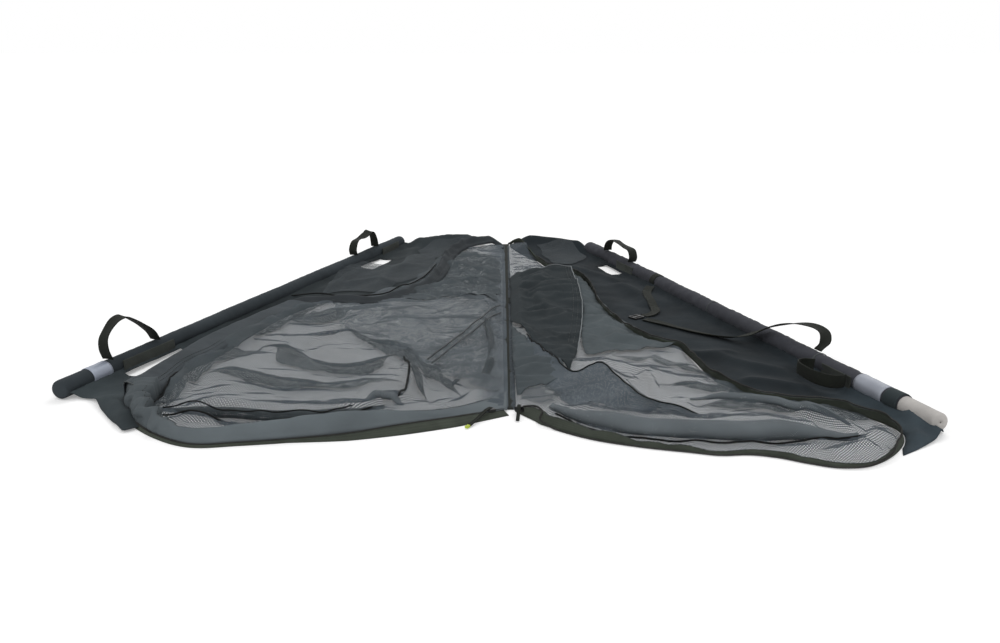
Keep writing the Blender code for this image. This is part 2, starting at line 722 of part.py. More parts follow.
def make_skirt(name, bar, rim, near_edge, far_edge, holes, body):
    """The outer cloth between the bar and the zip rim, lying on the floor with hand holes."""
    inset = SLEEVE_RADIUS - SKIRT_OVERLAP
    outer = bar.strip(inset, 0.0, 0.0, bar.length, 24)
    outline = list(reversed(outer)) + near_edge[1:] + rim + list(reversed(far_edge))[:-1]
    slots = []
    for start, end, start_width, end_width in holes:
        slots.append([bar.point(start, HAND_HOLE_INSET), bar.point(end, HAND_HOLE_INSET),
                      bar.point(end, HAND_HOLE_INSET + end_width),
                      bar.point(start, HAND_HOLE_INSET + start_width)])
    curve = outline_curve(name, [outline] + slots, SKIRT_THICKNESS)
    piece = add_object(name, curve, DARK_CLOTH, body)
    piece.location = (0.0, 0.0, SKIRT_HEIGHT + SKIRT_THICKNESS / 2)


def plan_points(points, per_span=5):
    return smooth([(x, y, 0.0) for x, y in points], per_span)


def left_coil_path():
    return smooth(LEFT_COIL)


def right_tape_rails():
    """Lower and upper edges of the right zip tape, which leans in a little."""
    lower = smooth(RIGHT_RIM, 4)
    upper = []
    for i, point in enumerate(lower):
        height = min(RIGHT_TAPE_HEIGHT, fold_limit(point.x))
        lean = RIGHT_TAPE_LEAN * height / RIGHT_TAPE_HEIGHT
        moved = point - to_right(travel(lower, i)) * lean
        upper.append(Vector((moved.x, moved.y, height)))
    return lower, upper


def right_coil_path():
    return offset(right_tape_rails()[1], 0.0, COIL_RADIUS + CLOTH)


def make_left_rim(body):
    """Zip coil, zip tape and the grey bands that stand round the left half."""
    coil = left_coil_path()
    tube("left_zip_coil", resample(coil, LEFT_COIL_STEPS), COIL_RADIUS, COIL_GREY, body)
    spread = smooth_values(LEFT_TAPE_SPREAD)
    upper = offset(coil, -LEFT_TAPE_SPACE, -LEFT_TAPE_DROP)
    lower = []
    for i, point in enumerate(coil):
        low = point - to_right(travel(coil, i)) * spread[i]
        lower.append(Vector((low.x, low.y, LEFT_TAPE_FOOT)))
    rail_strip("left_zip_tape", [lower, upper], LEFT_TAPE_THICKNESS, OLIVE_TAPE, body)

    front = smooth(LEFT_COIL[:LEFT_CORNER + 1])
    tops = smooth_values(LEFT_BAND_TOP)
    inner = offset(front, FRONT_LOW_OUT)
    low = [Vector((p.x, p.y, min(p.z + FRONT_LOW_UP, fold_limit(p.x)))) for p in inner]
    leaning = offset(front, FRONT_TOP_OUT)
    high = [Vector((p.x, p.y, top)) for p, top in zip(leaning, tops)]
    middle = [a.lerp(b, 0.5) for a, b in zip(low, high)]
    rails = [rail[FRONT_FIRST:] for rail in (low, middle, high)]
    rail_strip("left_front_band", rails, CLOTH, BAND_CLOTH, body)

    line = smooth(LEFT_COIL[LEFT_CORNER:])[SIDE_FIRST:]
    outer_low = at_height(offset(line, SIDE_LOW_OUT), SIDE_LOW_HEIGHT)
    outer_top = at_height(offset(line, SIDE_TOP_OUT), SIDE_TOP_HEIGHT)
    rail_strip("left_side_band", [outer_low, outer_top, smooth(LEFT_SIDE_INNER)], CLOTH,
               BAND_CLOTH, body)

    fold = smooth(LEFT_FAR_FOLD)
    low = at_height(offset(fold, -FAR_LOW_OUT), FAR_LOW_HEIGHT)
    ridge = [Vector((p.x, p.y, min(p.z, fold_limit(p.x)))) for p in fold]
    inside = [Vector((p.x, p.y, min(p.z * FAR_INSIDE_SHARE, fold_limit(p.x))))
              for p in offset(fold, FAR_INSIDE)]
    rail_strip("left_far_band", [low, ridge, inside], CLOTH, DARK_CLOTH, body)


def make_left_cloth(bar, body):
    """The mesh inside the left rim, and the skirt from the rim to the bar."""
    fold = smooth(LEFT_FAR_FOLD)
    front = smooth(LEFT_COIL[:LEFT_CORNER + 1])
    outline = [Vector((-KEEL_CLEARANCE, KEEL_NEAR + KEEL_END_INSET, 0.0))]
    outline += offset(front, FRONT_MESH_INSET)[6:-2]
    outline += offset(smooth(LEFT_SIDE_INNER), SIDE_MESH_INSET)[2:]
    outline += offset(fold, FAR_MESH_INSET)[4:-2]
    outline += [Vector((-KEEL_CLEARANCE, LEFT_MESH_END, 0.0))]
    cloth_in_outline("left_mesh_panel", outline, lambda x, y: mesh_height(x, y, LEFT_FOLDS),
                     LEFT_MESH_GRID, MESH_CLOTH, body)

    side = smooth(LEFT_COIL[LEFT_CORNER:])
    rim = [Vector((-0.552, -0.686, 0.0)), Vector((-0.578, -0.634, 0.0))]
    rim += offset(side, -LEFT_SKIRT_SPACE)[5:]
    rim += offset(fold, -FAR_SKIRT_SPACE)[4:]
    near_edge = plan_points(LEFT_SKIRT_NEAR)
    far_edge = plan_points(LEFT_SKIRT_FAR)
    make_skirt("left_skirt", bar, rim, near_edge, far_edge, LEFT_HOLES, body)


def make_right_rim(body):
    lower, upper = right_tape_rails()
    rail_strip("right_zip_tape", [lower, upper], CLOTH, OLIVE_TAPE, body, RIM_STEP, 0.0)
    tube("right_zip_coil", resample(right_coil_path(), RIGHT_COIL_STEPS), COIL_RADIUS, COIL_GREY, body)


def make_right_cloth(bar, body):
    """The mesh inside the right rim, and the skirt from the rim to the bar."""
    rim = smooth(RIGHT_RIM, 4)
    outline = [Vector((KEEL_CLEARANCE, KEEL_NEAR + KEEL_END_INSET, 0.0))]
    outline += offset(rim, -RIGHT_MESH_INSET)[2:]
    outline += plan_points(RIGHT_MESH_FAR)
    cloth_in_outline("right_mesh_panel", outline, lambda x, y: mesh_height(x, y, RIGHT_FOLDS),
                     RIGHT_MESH_GRID, MESH_CLOTH, body)

    corner = 4 * RIGHT_RIM_CORNER
    side = offset(rim, RIGHT_SKIRT_SPACE)[corner - 2:]
    side += plan_points(RIGHT_SKIRT_KEEL)
    near_edge = plan_points(RIGHT_SKIRT_NEAR)
    far_edge = plan_points(RIGHT_SKIRT_FAR)
    make_skirt("right_skirt", bar, side, near_edge, far_edge, RIGHT_HOLES, body)


def right_mesh_top(point, clearance):
    return mesh_height(point.x, point.y, RIGHT_FOLDS) + clearance


def make_base_panel(body):
    """The solid cloth panel on the right half, raised along its far edge."""
    near = plan_points([(0.006, PANEL_NEAR_LEFT), (0.060, -0.375), (0.098, PANEL_NEAR_RIGHT)])
    far = plan_points([(0.006, 0.172), (0.040, PANEL_FAR), (0.110, 0.186), (0.143, 0.160)])
    right = plan_points([(0.098, PANEL_NEAR_RIGHT), (0.120, -0.360), (0.147, -0.100),
                         (0.143, 0.160)])
    panel = coons(resample(near, 40), resample(far, 40), resample([near[0], far[0]], 40),
                  resample(right, 40))

    def surface(u, v):
        point = panel(u, v)
        rise = min(PANEL_RISE * max(v, 0.0) ** 2, 0.24 * max(point.x - KEEL_CLEARANCE, 0.0))
        point.z = right_mesh_top(point, PANEL_CLEARANCE) + rise
        return point

    sheet("right_base_panel", surface, PANEL_STEPS, CLOTH, BASE_CLOTH, body)


def make_inner_flap(body):
    """The loose mesh flap on the right half, with a bound edge."""
    count, spans = FLAP_STEPS
    edge = resample(smooth(FLAP_EDGE, 4), count)
    base = resample(smooth(FLAP_ROOT, 4), count)

    def surface(u, v):
        i = round(u * count)
        point = base[i].lerp(edge[i], v)
        point.z = max(point.z, right_mesh_top(point, FLAP_CLEARANCE))
        return point

    sheet("right_inner_flap", surface, (count, spans), CLOTH, MESH_CLOTH, body)
    lift = CLOTH + BINDING_RADIUS + BINDING_SPACE
    binding = []
    for point in edge:
        height = max(point.z, right_mesh_top(point, FLAP_CLEARANCE)) + lift
        binding.append(Vector((point.x, point.y, height)))
    tube("right_flap_binding", binding, BINDING_RADIUS, WEBBING_BLACK, body)


def slider_frame(path, distance):
    """Place of a slider on a coil: Y along the coil, X to the right of its travel."""
    start = path[0]
    direction = (path[6] - path[0]).normalized()
    side = to_right(Vector((direction.x, direction.y, 0.0)).normalized())
    up = side.cross(direction)
    rows = Matrix((side, direction, up)).transposed().to_4x4()
    return Matrix.Translation(start + direction * distance) @ rows


def make_slider(name, frame, slit_side, body):
    """A zip slider: a block with a channel for the coil and a slit for its tape."""
    slider = box(name, SLIDER_SIZE, SLIDER_METAL, None)
    slider.location = frame.translation
    slider.rotation_euler = frame.to_euler()
    width, length, height = SLIDER_SIZE
    combine(slider, box_cutter(name + "_channel", (CHANNEL, length * 2, CHANNEL), frame))
    if slit_side:
        shift = Matrix.Translation((slit_side * width / 2, 0.0, -0.0012))
        size = (width, length * 2, SLIT)
    else:
        shift = Matrix.Translation((0.0, 0.0, -height / 2))
        size = (SLIT, length * 2, height)
    combine(slider, box_cutter(name + "_slit", size, frame @ shift))
    ride(slider, body)


def make_pull(name, frame, end, body):
    """A zip pull: a narrow tab from the slider's top down to its end."""
    top = SLIDER_SIZE[2] / 2 + PULL_RISE
    start = frame @ Vector((0.0, 0.0, top))
    finish = Vector(end)
    run = finish - start
    route = [start, start + Vector((run.x * 0.25, run.y * 0.25, 0.0)),
             start + Vector((run.x * 0.6, run.y * 0.6, run.z * 0.55)), finish]
    path = smooth(route, 3)
    rails = [offset(path, -PULL_WIDTH / 2), offset(path, PULL_WIDTH / 2)]
    rail_strip(name, rails, PULL_THICKNESS, WEBBING_BLACK, body, 0.007, 0.0)
    return start, finish, run.normalized()


def make_zip_ends(left_half, right_half):
    """Both sliders, parked at the near end of the keel, with their pulls."""
    left_frame = slider_frame(left_coil_path(), LEFT_SLIDER_AT)
    right_frame = slider_frame(right_coil_path(), RIGHT_SLIDER_AT)
    left_slider = add_body("left_zip_slider_axis", left_frame.translation, left_half)
    right_slider = add_body("right_zip_slider_axis", right_frame.translation, right_half)
    make_slider("left_zip_slider", left_frame, -1.0, left_slider)
    make_slider("right_zip_slider", right_frame, 0.0, right_slider)
    top = Vector((0.0, 0.0, SLIDER_SIZE[2] / 2 + GAP))
    left_pull = add_body("left_zip_pull_axis", left_frame @ top, left_slider)
    right_pull = add_body("right_zip_pull_axis", right_frame @ top, right_slider)
    start, finish, run = make_pull("left_zip_pull", left_frame, LEFT_PULL_END, left_pull)
    make_pull("right_zip_pull", right_frame, RIGHT_PULL_END, right_pull)
    tip = box("left_zip_pull_tip", PULL_TIP, PULL_PLASTIC, left_pull)
    tip.location = finish + Vector((run.x, run.y, 0.0)).normalized() * (PULL_TIP[0] / 2 + GAP)
    tip.rotation_euler = (0.0, 0.0, math.atan2(run.y, run.x))


def make_trim(left, right, left_half, right_half):
    """What is sewn to the two sleeves and doesn't move on them."""
    make_ring("left_reflective_band", left, LEFT_BAND_PLACE, REFLECTIVE, left_half)
    make_ring("right_reflective_band", right, RIGHT_BAND_PLACE, REFLECTIVE, right_half)
    make_ring("right_sleeve_cuff", right, CUFF_PLACE, WEBBING_BLACK, right_half)
    make_ring("right_strap_wrap", right, STRAP_WRAP_PLACE, WEBBING_BLACK, right_half)
    for end, left_place, right_place in zip(("near", "far"), LEFT_HOLE_WEBBING,
                                            RIGHT_HOLE_WEBBING):
        make_hole_webbing(f"left_{end}_hole_webbing", left, left_place, left_half)
        make_hole_webbing(f"right_{end}_hole_webbing", right, right_place, right_half)


def make_handles(left, right, left_half, right_half):
    """The four handle loops and the carry strap, each on an axis along its bar."""
    loops = [
        ("left_near_handle", left, LEFT_NEAR_LOOP, left_half, 0.0),
        ("left_far_handle", left, LEFT_FAR_LOOP, left_half, 0.0),
        ("right_near_handle", right, RIGHT_NEAR_LOOP, right_half, RIGHT_NEAR_TILT),
        ("right_far_handle", right, RIGHT_FAR_LOOP, right_half, 0.0),
    ]
    for name, bar, stations, half, tilt in loops:
        middle = (stations[0][0] + stations[-1][0]) / 2
        body = add_body(name + "_axis", bar.point(middle), half)
        make_handle(name, bar, stations, body, tilt)
    strap_body = add_body("carry_strap_axis", right.point(STRAP_WRAP_PLACE[0]), right_half)
    make_strap("right_short_strap", SHORT_STRAP, strap_body)
    make_strap("right_carry_strap", CARRY_STRAP, strap_body)
    make_adjuster("right_strap_adjuster", strap_body)


def main():
    clear_scene()
    new_collection(COLLECTION)
    new_collection(CUTTERS)
    left = Bar(LEFT_NEAR, LEFT_YAW, LEFT_LENGTH, -1.0)
    right = Bar(RIGHT_NEAR, RIGHT_YAW, RIGHT_LENGTH, 1.0)
    hinge = (0.0, 0.0, HINGE_HEIGHT)
    left_half = add_body("left_half", hinge)
    right_half = add_body("right_half", hinge)
    right_float = add_body("right_float_axis", right.point(0.0), right_half)
    make_keel()
    make_sleeve("left", left, left_half, True)
    make_sleeve("right", right, right_half, False)
    make_poles("left", left, left_half, left_half, POLE_INSET)
    make_poles("right", right, right_float, right_half, -RIGHT_FLOAT_OUT)
    make_left_rim(left_half)
    make_left_cloth(left, left_half)
    make_right_rim(right_half)
    make_right_cloth(right, right_half)
    make_base_panel(right_half)
    make_inner_flap(right_half)
    make_trim(left, right, left_half, right_half)
    make_handles(left, right, left_half, right_half)
    make_zip_ends(left_half, right_half)


main()
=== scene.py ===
# %% [markdown]
# A retainer sling holds a fish safely in the water. It is a long bag of soft net with a zip
# round three of its sides and a padded float bar along each long edge. Here it lies unzipped
# and opened like a book, with its keel seam in the middle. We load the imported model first,
# because every piece of cloth that we make has to lie where the model's solids are.

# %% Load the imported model
import math

import bpy
import numpy as np
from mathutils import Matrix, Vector
from mathutils.bvhtree import BVHTree
from mathutils.geometry import delaunay_2d_cdt


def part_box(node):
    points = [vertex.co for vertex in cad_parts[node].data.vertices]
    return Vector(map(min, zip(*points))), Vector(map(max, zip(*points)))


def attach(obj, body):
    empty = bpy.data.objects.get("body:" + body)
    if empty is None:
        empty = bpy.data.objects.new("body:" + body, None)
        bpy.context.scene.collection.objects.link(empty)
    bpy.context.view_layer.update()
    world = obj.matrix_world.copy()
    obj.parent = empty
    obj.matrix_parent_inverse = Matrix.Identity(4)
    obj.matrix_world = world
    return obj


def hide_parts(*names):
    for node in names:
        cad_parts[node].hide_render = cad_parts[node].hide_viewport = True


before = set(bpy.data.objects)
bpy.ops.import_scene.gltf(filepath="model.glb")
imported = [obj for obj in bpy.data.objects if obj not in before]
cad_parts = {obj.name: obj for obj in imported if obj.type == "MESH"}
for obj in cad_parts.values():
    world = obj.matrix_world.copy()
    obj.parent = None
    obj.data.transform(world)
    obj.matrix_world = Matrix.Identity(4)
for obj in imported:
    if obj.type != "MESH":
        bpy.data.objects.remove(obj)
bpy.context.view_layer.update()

# %% [markdown]
# The camera comes next. The photograph was taken from half a metre above the ground and two
# metres in front of the sling. With the camera fixed, a fold that shows at some pixel can be
# laid on the ground at the right spot: we follow the pixel's ray down to the fold's height.

# %% Camera, and the spot on the ground behind a pixel
PHOTO_WIDTH = 1000
PHOTO_HEIGHT = 643
FOCAL_PIXELS = 1000.0
EYE = np.array((-0.0135, -1.995, 0.5073))
PITCH = math.radians(15.456)


def new_object(name, data):
    """Puts a new object with this data in the scene."""
    made = bpy.data.objects.new(name, data)
    bpy.context.scene.collection.objects.link(made)
    return made


def place_camera():
    lens = bpy.data.cameras.new("camera")
    lens.sensor_width = 36.0
    lens.lens = 36.0 * FOCAL_PIXELS / PHOTO_WIDTH
    camera = new_object("camera", lens)
    camera.location = EYE
    camera.rotation_euler = (math.pi / 2 - PITCH, 0.0, 0.0)
    bpy.context.scene.camera = camera


def spot(u, v, height):
    """The point of that height which shows at pixel (u, v)."""
    across = (u - PHOTO_WIDTH / 2) / FOCAL_PIXELS
    down = (v - PHOTO_HEIGHT / 2) / FOCAL_PIXELS
    ray = np.array((across, math.cos(PITCH) - down * math.sin(PITCH),
                    -math.sin(PITCH) - down * math.cos(PITCH)))
    return EYE + ray * ((height - EYE[2]) / ray[2])


def spots(pixels, height=0.010):
    return np.array([spot(u, v, height) for u, v in pixels])


place_camera()
print("middle of the photograph on the ground:", spot(500, 321.5, 0.0).round(3))

# %% [markdown]
# Cloth is easiest to describe by lines: seams, hems and fold crests. So we need a few tools
# for lines. A smooth line passes through given points, can be divided evenly, and can be
# shifted sideways on the plan, the way a hem runs beside a seam.

# %% Tools for lines
def smooth_line(points, per_span=10):
    """A Catmull-Rom line through given points."""
    p = np.asarray(points, float)
    p = np.vstack((2 * p[0] - p[1], p, 2 * p[-1] - p[-2]))
    f = np.linspace(0, 1, per_span, endpoint=False)[:, None]
    spans = []
    for a, b, c, d in zip(p, p[1:], p[2:], p[3:]):
        spans.append(0.5 * (2 * b + (c - a) * f + (2 * a - 5 * b + 4 * c - d) * f * f
                            + (3 * b - a - 3 * c + d) * f ** 3))
    return np.vstack(spans + [p[-2:-1]])


def plan_line(points, per_span=8):
    """A smooth line through points on the ground."""
    return smooth_line([(x, y, 0.0) for x, y in points], per_span)


def run_lengths(line):
    steps = np.linalg.norm(np.diff(line, axis=0), axis=1)
    return np.concatenate(([0.0], np.cumsum(steps)))


def even_line(line, count):
    """The same line with that many evenly spaced points."""
    lengths = run_lengths(line)
    targets = np.linspace(0, lengths[-1], count)
    return np.stack([np.interp(targets, lengths, line[:, k]) for k in range(line.shape[1])], 1)


def spaced_line(points, gap):
    line = smooth_line(points)
    return even_line(line, max(3, round(run_lengths(line)[-1] / gap) + 1))


def unit(vectors):
    """The same directions, one metre long."""
    return vectors / np.maximum(np.linalg.norm(vectors, axis=-1, keepdims=True), 1e-9)


def to_right(line):
    """Unit vectors to the right of the line's travel on the plan."""
    way = unit(np.gradient(line[:, :2], axis=0))
    return np.stack((way[:, 1], -way[:, 0], np.zeros(len(way))), 1)


def beside(line, sideways, up=0.0):
    """The line moved to the right on the plan, and raised."""
    moved = line + to_right(line) * np.reshape(sideways, (-1, 1))
    moved[:, 2] += up
    return moved


def at_height(line, height):
    flat = line.copy()
    flat[:, 2] = height
    return flat


def taper(t, ends=0.15):
    """1 along the middle of a run from 0 to 1, and easing to 0 at both ends."""
    s = np.clip(np.minimum(t, 1 - t) / ends, 0, 1)
    return s * s * (3 - 2 * s)


def noise(x, y, size, seed, stretch=1.0, turn=0.0):
    """Smooth random values from -1 to 1. Stretch lengthens the pattern along the turned X."""
    table = np.random.default_rng(seed).uniform(-1, 1, (64, 64))
    a = (x * math.cos(turn) + y * math.sin(turn)) / (size * stretch) + 500.0
    b = (y * math.cos(turn) - x * math.sin(turn)) / size + 500.0
    i = np.floor(a).astype(int)
    j = np.floor(b).astype(int)
    f = a - i
    g = b - j
    f = f * f * (3 - 2 * f)
    g = g * g * (3 - 2 * g)
    near = table[i % 64, j % 64] * (1 - f) + table[(i + 1) % 64, j % 64] * f
    far = table[i % 64, (j + 1) % 64] * (1 - f) + table[(i + 1) % 64, (j + 1) % 64] * f
    return near * (1 - g) + far * g


def ripples(x, y, *layers):
    """Adds up layers of noise. Each is its rise, size, seed, stretch and turn."""
    return sum(rise * noise(x, y, *layer) for rise, *layer in layers)

# %% [markdown]
# These are the sling's own lines, in metres. They are the same as in the model's source: the
# two float bars, the zip on each half, and the edges of the outer cloth.

# %% The sling's own lines
KEEL_CLEARANCE = 0.004
FOLD_SLOPE = 0.55
FOLD_BASE = 0.0026
KEEL_NEAR = -0.640
KEEL_FAR = 0.600
SLEEVE_RADIUS = 0.0145
RING_CLEARANCE = 0.0014
AXIS_HEIGHT = SLEEVE_RADIUS + RING_CLEARANCE
WEBBING_WIDTH = 0.020
HAND_HOLE_INSET = 0.021
SEAM_REACH = 0.0100

LEFT_COIL = [
    (-0.009, -0.6490, 0.0050), (-0.034, -0.6640, 0.0065), (-0.059, -0.6790, 0.0080),
    (-0.084, -0.6940, 0.0095), (-0.150, -0.7210, 0.0095),
    (-0.215, -0.7420, 0.0060), (-0.279, -0.7560, 0.0045), (-0.356, -0.7700, 0.0040),
    (-0.419, -0.7760, 0.0040), (-0.477, -0.7420, 0.0045), (-0.531, -0.6830, 0.0060),
    (-0.566, -0.6150, 0.0070), (-0.564, -0.5160, 0.0060), (-0.548, -0.4160, 0.0050),
    (-0.524, -0.2890, 0.0040), (-0.486, -0.1800, 0.0040), (-0.444, -0.0540, 0.0040),
]
LEFT_CORNER = 11
LEFT_BAND_TOP = [0.0042, 0.0120, 0.0200, 0.0290, 0.0330, 0.0300, 0.0250, 0.0220, 0.0210, 0.0270,
                 0.0340, 0.0360]
LEFT_FAR_FOLD = [
    (-0.434, -0.030, 0.010), (-0.360, -0.015, 0.012), (-0.267, -0.023, 0.014),
    (-0.203, 0.056, 0.016), (-0.158, 0.181, 0.020), (-0.142, 0.404, 0.022),
    (-0.108, 0.520, 0.026), (-0.046, 0.588, 0.024),
]
RIGHT_RIM = [
    (0.009, -0.650, 0.0010), (0.022, -0.668, 0.0010), (0.035, -0.686, 0.0010),
    (0.048, -0.704, 0.0010), (0.106, -0.750, 0.0010),
    (0.169, -0.778, 0.0010), (0.232, -0.796, 0.0010), (0.268, -0.806, 0.0010),
    (0.307, -0.804, 0.0012), (0.343, -0.814, 0.0012), (0.375, -0.832, 0.0010),
    (0.410, -0.846, 0.0010), (0.447, -0.843, 0.0010), (0.487, -0.812, 0.0012),
    (0.520, -0.765, 0.0016), (0.527, -0.722, 0.0016), (0.505, -0.678, 0.0016),
    (0.465, -0.634, 0.0016), (0.410, -0.618, 0.0016), (0.367, -0.602, 0.0016),
    (0.341, -0.555, 0.0016), (0.318, -0.492, 0.0016), (0.308, -0.412, 0.0016),
    (0.298, -0.350, 0.0016), (0.278, -0.325, 0.0016), (0.248, -0.300, 0.0016),
    (0.216, -0.215, 0.0016), (0.188, -0.050, 0.0016), (0.184, 0.095, 0.0016),
    (0.164, 0.200, 0.0016), (0.125, 0.262, 0.0016), (0.097, 0.310, 0.0016),
    (0.078, 0.380, 0.0016),
]
RIGHT_RIM_CORNER = 14
RIGHT_TAPE_HEIGHT = 0.0165
RIGHT_TAPE_LEAN = 0.0035
LEFT_SKIRT_NEAR = [(-0.648, -0.592), (-0.612, -0.608), (-0.584, -0.650), (-0.553, -0.694),
                   (-0.524, -0.730)]
LEFT_SKIRT_FAR = [(-0.262, 0.556), (-0.171, 0.600), (-0.110, 0.612), (-0.054, 0.606)]
RIGHT_SKIRT_NEAR = [(0.546, -0.668), (0.580, -0.700), (0.588, -0.722), (0.578, -0.746),
                    (0.548, -0.774), (0.502, -0.808)]
RIGHT_SKIRT_FAR = [(0.202, 0.488), (0.120, 0.562), (0.060, 0.596), (0.012, 0.600)]
RIGHT_SKIRT_KEEL = [(0.056, 0.420), (0.029, 0.500), (0.013, 0.557)]
RIGHT_MESH_FAR = [(0.066, 0.425), (0.046, 0.500), (0.006, 0.575)]
LEFT_HOLES = ((0.118, 0.262, 0.024, 0.008), (0.950, 1.064, 0.034, 0.030))
RIGHT_HOLES = ((0.128, 0.172, 0.010, 0.009), (0.945, 1.040, 0.026, 0.022))


def fold_limit(x):
    """Greatest height at which cloth clears the other half when both halves fold up."""
    return FOLD_BASE + FOLD_SLOPE * np.maximum(np.abs(x) - KEEL_CLEARANCE, 0.0)


class Bar:
    """The line of one float bar: places measured along it from its near end, and in from it."""

    def __init__(self, side, near, yaw_degrees, length):
        yaw = math.radians(yaw_degrees)
        self.side = side
        self.body = side + "_half"
        self.near = np.array((*near, AXIS_HEIGHT))
        self.length = length
        self.along = np.array((-math.sin(yaw), math.cos(yaw), 0.0))
        inward = 1.0 if side == "left" else -1.0
        self.inward = inward * np.array((math.cos(yaw), math.sin(yaw), 0.0))

    def point(self, along, inward=0.0, height=AXIS_HEIGHT):
        place = self.near + self.along * along + self.inward * inward
        place[2] = height
        return place

    def line(self, start, end, count, inward=0.0, height=AXIS_HEIGHT):
        return np.array([self.point(a, inward, height) for a in np.linspace(start, end, count)])


left_bar = Bar("left", (-0.664, -0.598), -18.6, 1.224)
right_bar = Bar("right", (0.560, -0.662), 16.9, 1.195)
left_coil = smooth_line(LEFT_COIL)
left_front = smooth_line(LEFT_COIL[:LEFT_CORNER + 1])
left_side = smooth_line(LEFT_COIL[LEFT_CORNER:])
left_fold = smooth_line(LEFT_FAR_FOLD)
right_rim = smooth_line(RIGHT_RIM)
print("zip of the left half: %.2f m" % run_lengths(left_coil)[-1])
print("zip of the right half: %.2f m" % run_lengths(right_rim)[-1])

# %% [markdown]
# A fabric's colour is never quite even. It varies over hand-sized patches, the threads catch
# light, and the weave gives a fine relief. So each finish is a small tree of nodes. This helper
# makes the tree's parts, and the finishes below say only what is special about each cloth.

# %% Tools for finishes
def add_node(tree, kind, inputs=(), **settings):
    """Adds a node to a tree. An input takes a number, or a link from another node's output."""
    made = tree.nodes.new(kind)
    for key, value in settings.items():
        setattr(made, key, value)
    for key, value in dict(inputs).items():
        if isinstance(value, bpy.types.NodeSocket):
            tree.links.new(value, made.inputs[key])
        else:
            made.inputs[key].default_value = value
    return made


class Finish:
    """A material under construction: nodes are added and joined by name."""

    def __init__(self, name, colour, roughness, metallic=0.0):
        self.material = bpy.data.materials.new(name)
        self.material.use_nodes = True
        self.tree = self.material.node_tree
        self.colour = colour
        self.give("Base Color", (*colour, 1.0))
        self.give("Roughness", roughness)
        self.give("Metallic", metallic)

    def give(self, key, value):
        """Sets an input of the shader to a value, or links it to a node's output."""
        socket = self.tree.nodes["Principled BSDF"].inputs[key]
        if isinstance(value, bpy.types.NodeSocket):
            self.tree.links.new(value, socket)
        else:
            socket.default_value = value

    def node(self, kind, inputs=(), **settings):
        return add_node(self.tree, "ShaderNode" + kind, inputs, **settings)

    def math(self, operation, a, b=0.0):
        return self.node("Math", {0: a, 1: b}, operation=operation).outputs[0]

    def span(self, value, low, high, start=0.0, end=1.0):
        """The value, moved from the range start to end onto the range low to high."""
        return self.node("MapRange", {"Value": value, "From Min": start, "From Max": end,
                                      "To Min": low, "To Max": high}).outputs[0]

    def threads_place(self, turn=0.0):
        """The place on the cloth in metres, along its threads and across them."""
        point = self.node("UVMap").outputs["UV"]
        turned = self.node("Mapping", {"Vector": point, "Rotation": (0.0, 0.0, turn)})
        return self.node("SeparateXYZ", {0: turned.outputs[0]}).outputs

    def object_place(self):
        return self.node("TexCoord").outputs["Object"]

    def across(self):
        """How far to the right of the keel a point lies."""
        return self.node("SeparateXYZ", {0: self.object_place()}).outputs[0]

    def patches(self, size, low, high, detail=3.0):
        """A slow variation between two numbers."""
        cloud = self.node("TexNoise", {"Vector": self.object_place(), "Scale": 1.0 / size,
                                       "Detail": detail})
        return self.span(cloud.outputs[0], low, high, 0.3, 0.7)

    def tint(self, amount):
        """The base colour times a number."""
        scaled = self.node("VectorMath", {0: self.colour, "Scale": amount}, operation="SCALE")
        self.give("Base Color", scaled.outputs[0])

    def relief(self, height, strength, depth):
        bump = self.node("Bump", {"Height": height, "Strength": strength, "Distance": depth})
        self.give("Normal", bump.outputs[0])

    def threads(self, gap, weft_gap=None, turn=0.0):
        """Two crossing sets of threads, each from 0 between them to 0.5 on top."""
        place = self.threads_place(turn)
        return [self.math("PINGPONG", self.math("DIVIDE", place[k], width), 0.5)
                for k, width in enumerate((gap, weft_gap or gap))]

    def as_cloth(self, shine):
        """Cloth throws back little light. Returns the finished material."""
        self.give("Sheen Weight", 0.02)
        self.give("Specular IOR Level", shine)
        return self.material


def woven_cloth(name, colour, thread=0.0011, patchy=0.12, roughness=0.86, painted_shade=None):
    """Matt woven polyester. Painted shade darkens its colour along x: from where, to where, and how much.
    """
    cloth = Finish(name, colour, roughness)
    weave = cloth.math("ADD", *cloth.threads(thread))
    slow = cloth.patches(0.09, 1.0 - patchy, 1.0 + patchy)
    # Painted shade: the colour is scaled from dim up to full between start and end along x.
    if painted_shade:
        start, end, dim = painted_shade
        slow = cloth.math("MULTIPLY", slow, cloth.span(cloth.across(), dim, 1.0, start, end))
    cloth.tint(cloth.math("MULTIPLY", slow, cloth.span(weave, 0.93, 1.07)))
    cloth.give("Roughness", cloth.patches(0.05, roughness - 0.06, min(1.0, roughness + 0.06)))
    puckers = cloth.patches(0.012, 0.0, 1.0, 2.0)
    cloth.relief(cloth.math("ADD", cloth.math("MULTIPLY", weave, 0.35), puckers), 0.35, 0.0006)
    return cloth.as_cloth(0.10)


NET_MESH = 0.0037


def knotted_net(name, colour, strand, painted_net_shade=None):
    """Soft knitted net: strands cross on the slant, and what is behind shows between them.
    Painted shade: the strands widen along x, so the net is darker there: from where, to where, and the
    strands' share there."""
    net = Finish(name, colour, 0.75)
    place = net.threads_place()
    sway = net.patches(0.02, -0.12, 0.12, 1.0)
    strands = []
    for slant in ("ADD", "SUBTRACT"):
        steps = net.math("DIVIDE", net.math(slant, place[0], place[1]), NET_MESH)
        strands.append(net.math("PINGPONG", net.math(slant, steps, sway), 0.5))
    nearest = net.math("MINIMUM", *strands)
    # Painted shade: the strands' share moves from strand to the wider share along x.
    if painted_net_shade:
        start, end, shade_strand = painted_net_shade
        strand = net.span(net.across(), strand, shade_strand, start, end)
    net.give("Alpha", net.math("LESS_THAN", nearest, strand))
    net.tint(net.patches(0.07, 0.86, 1.14))
    net.relief(nearest, 0.5, 0.0004)
    return net.as_cloth(0.12)


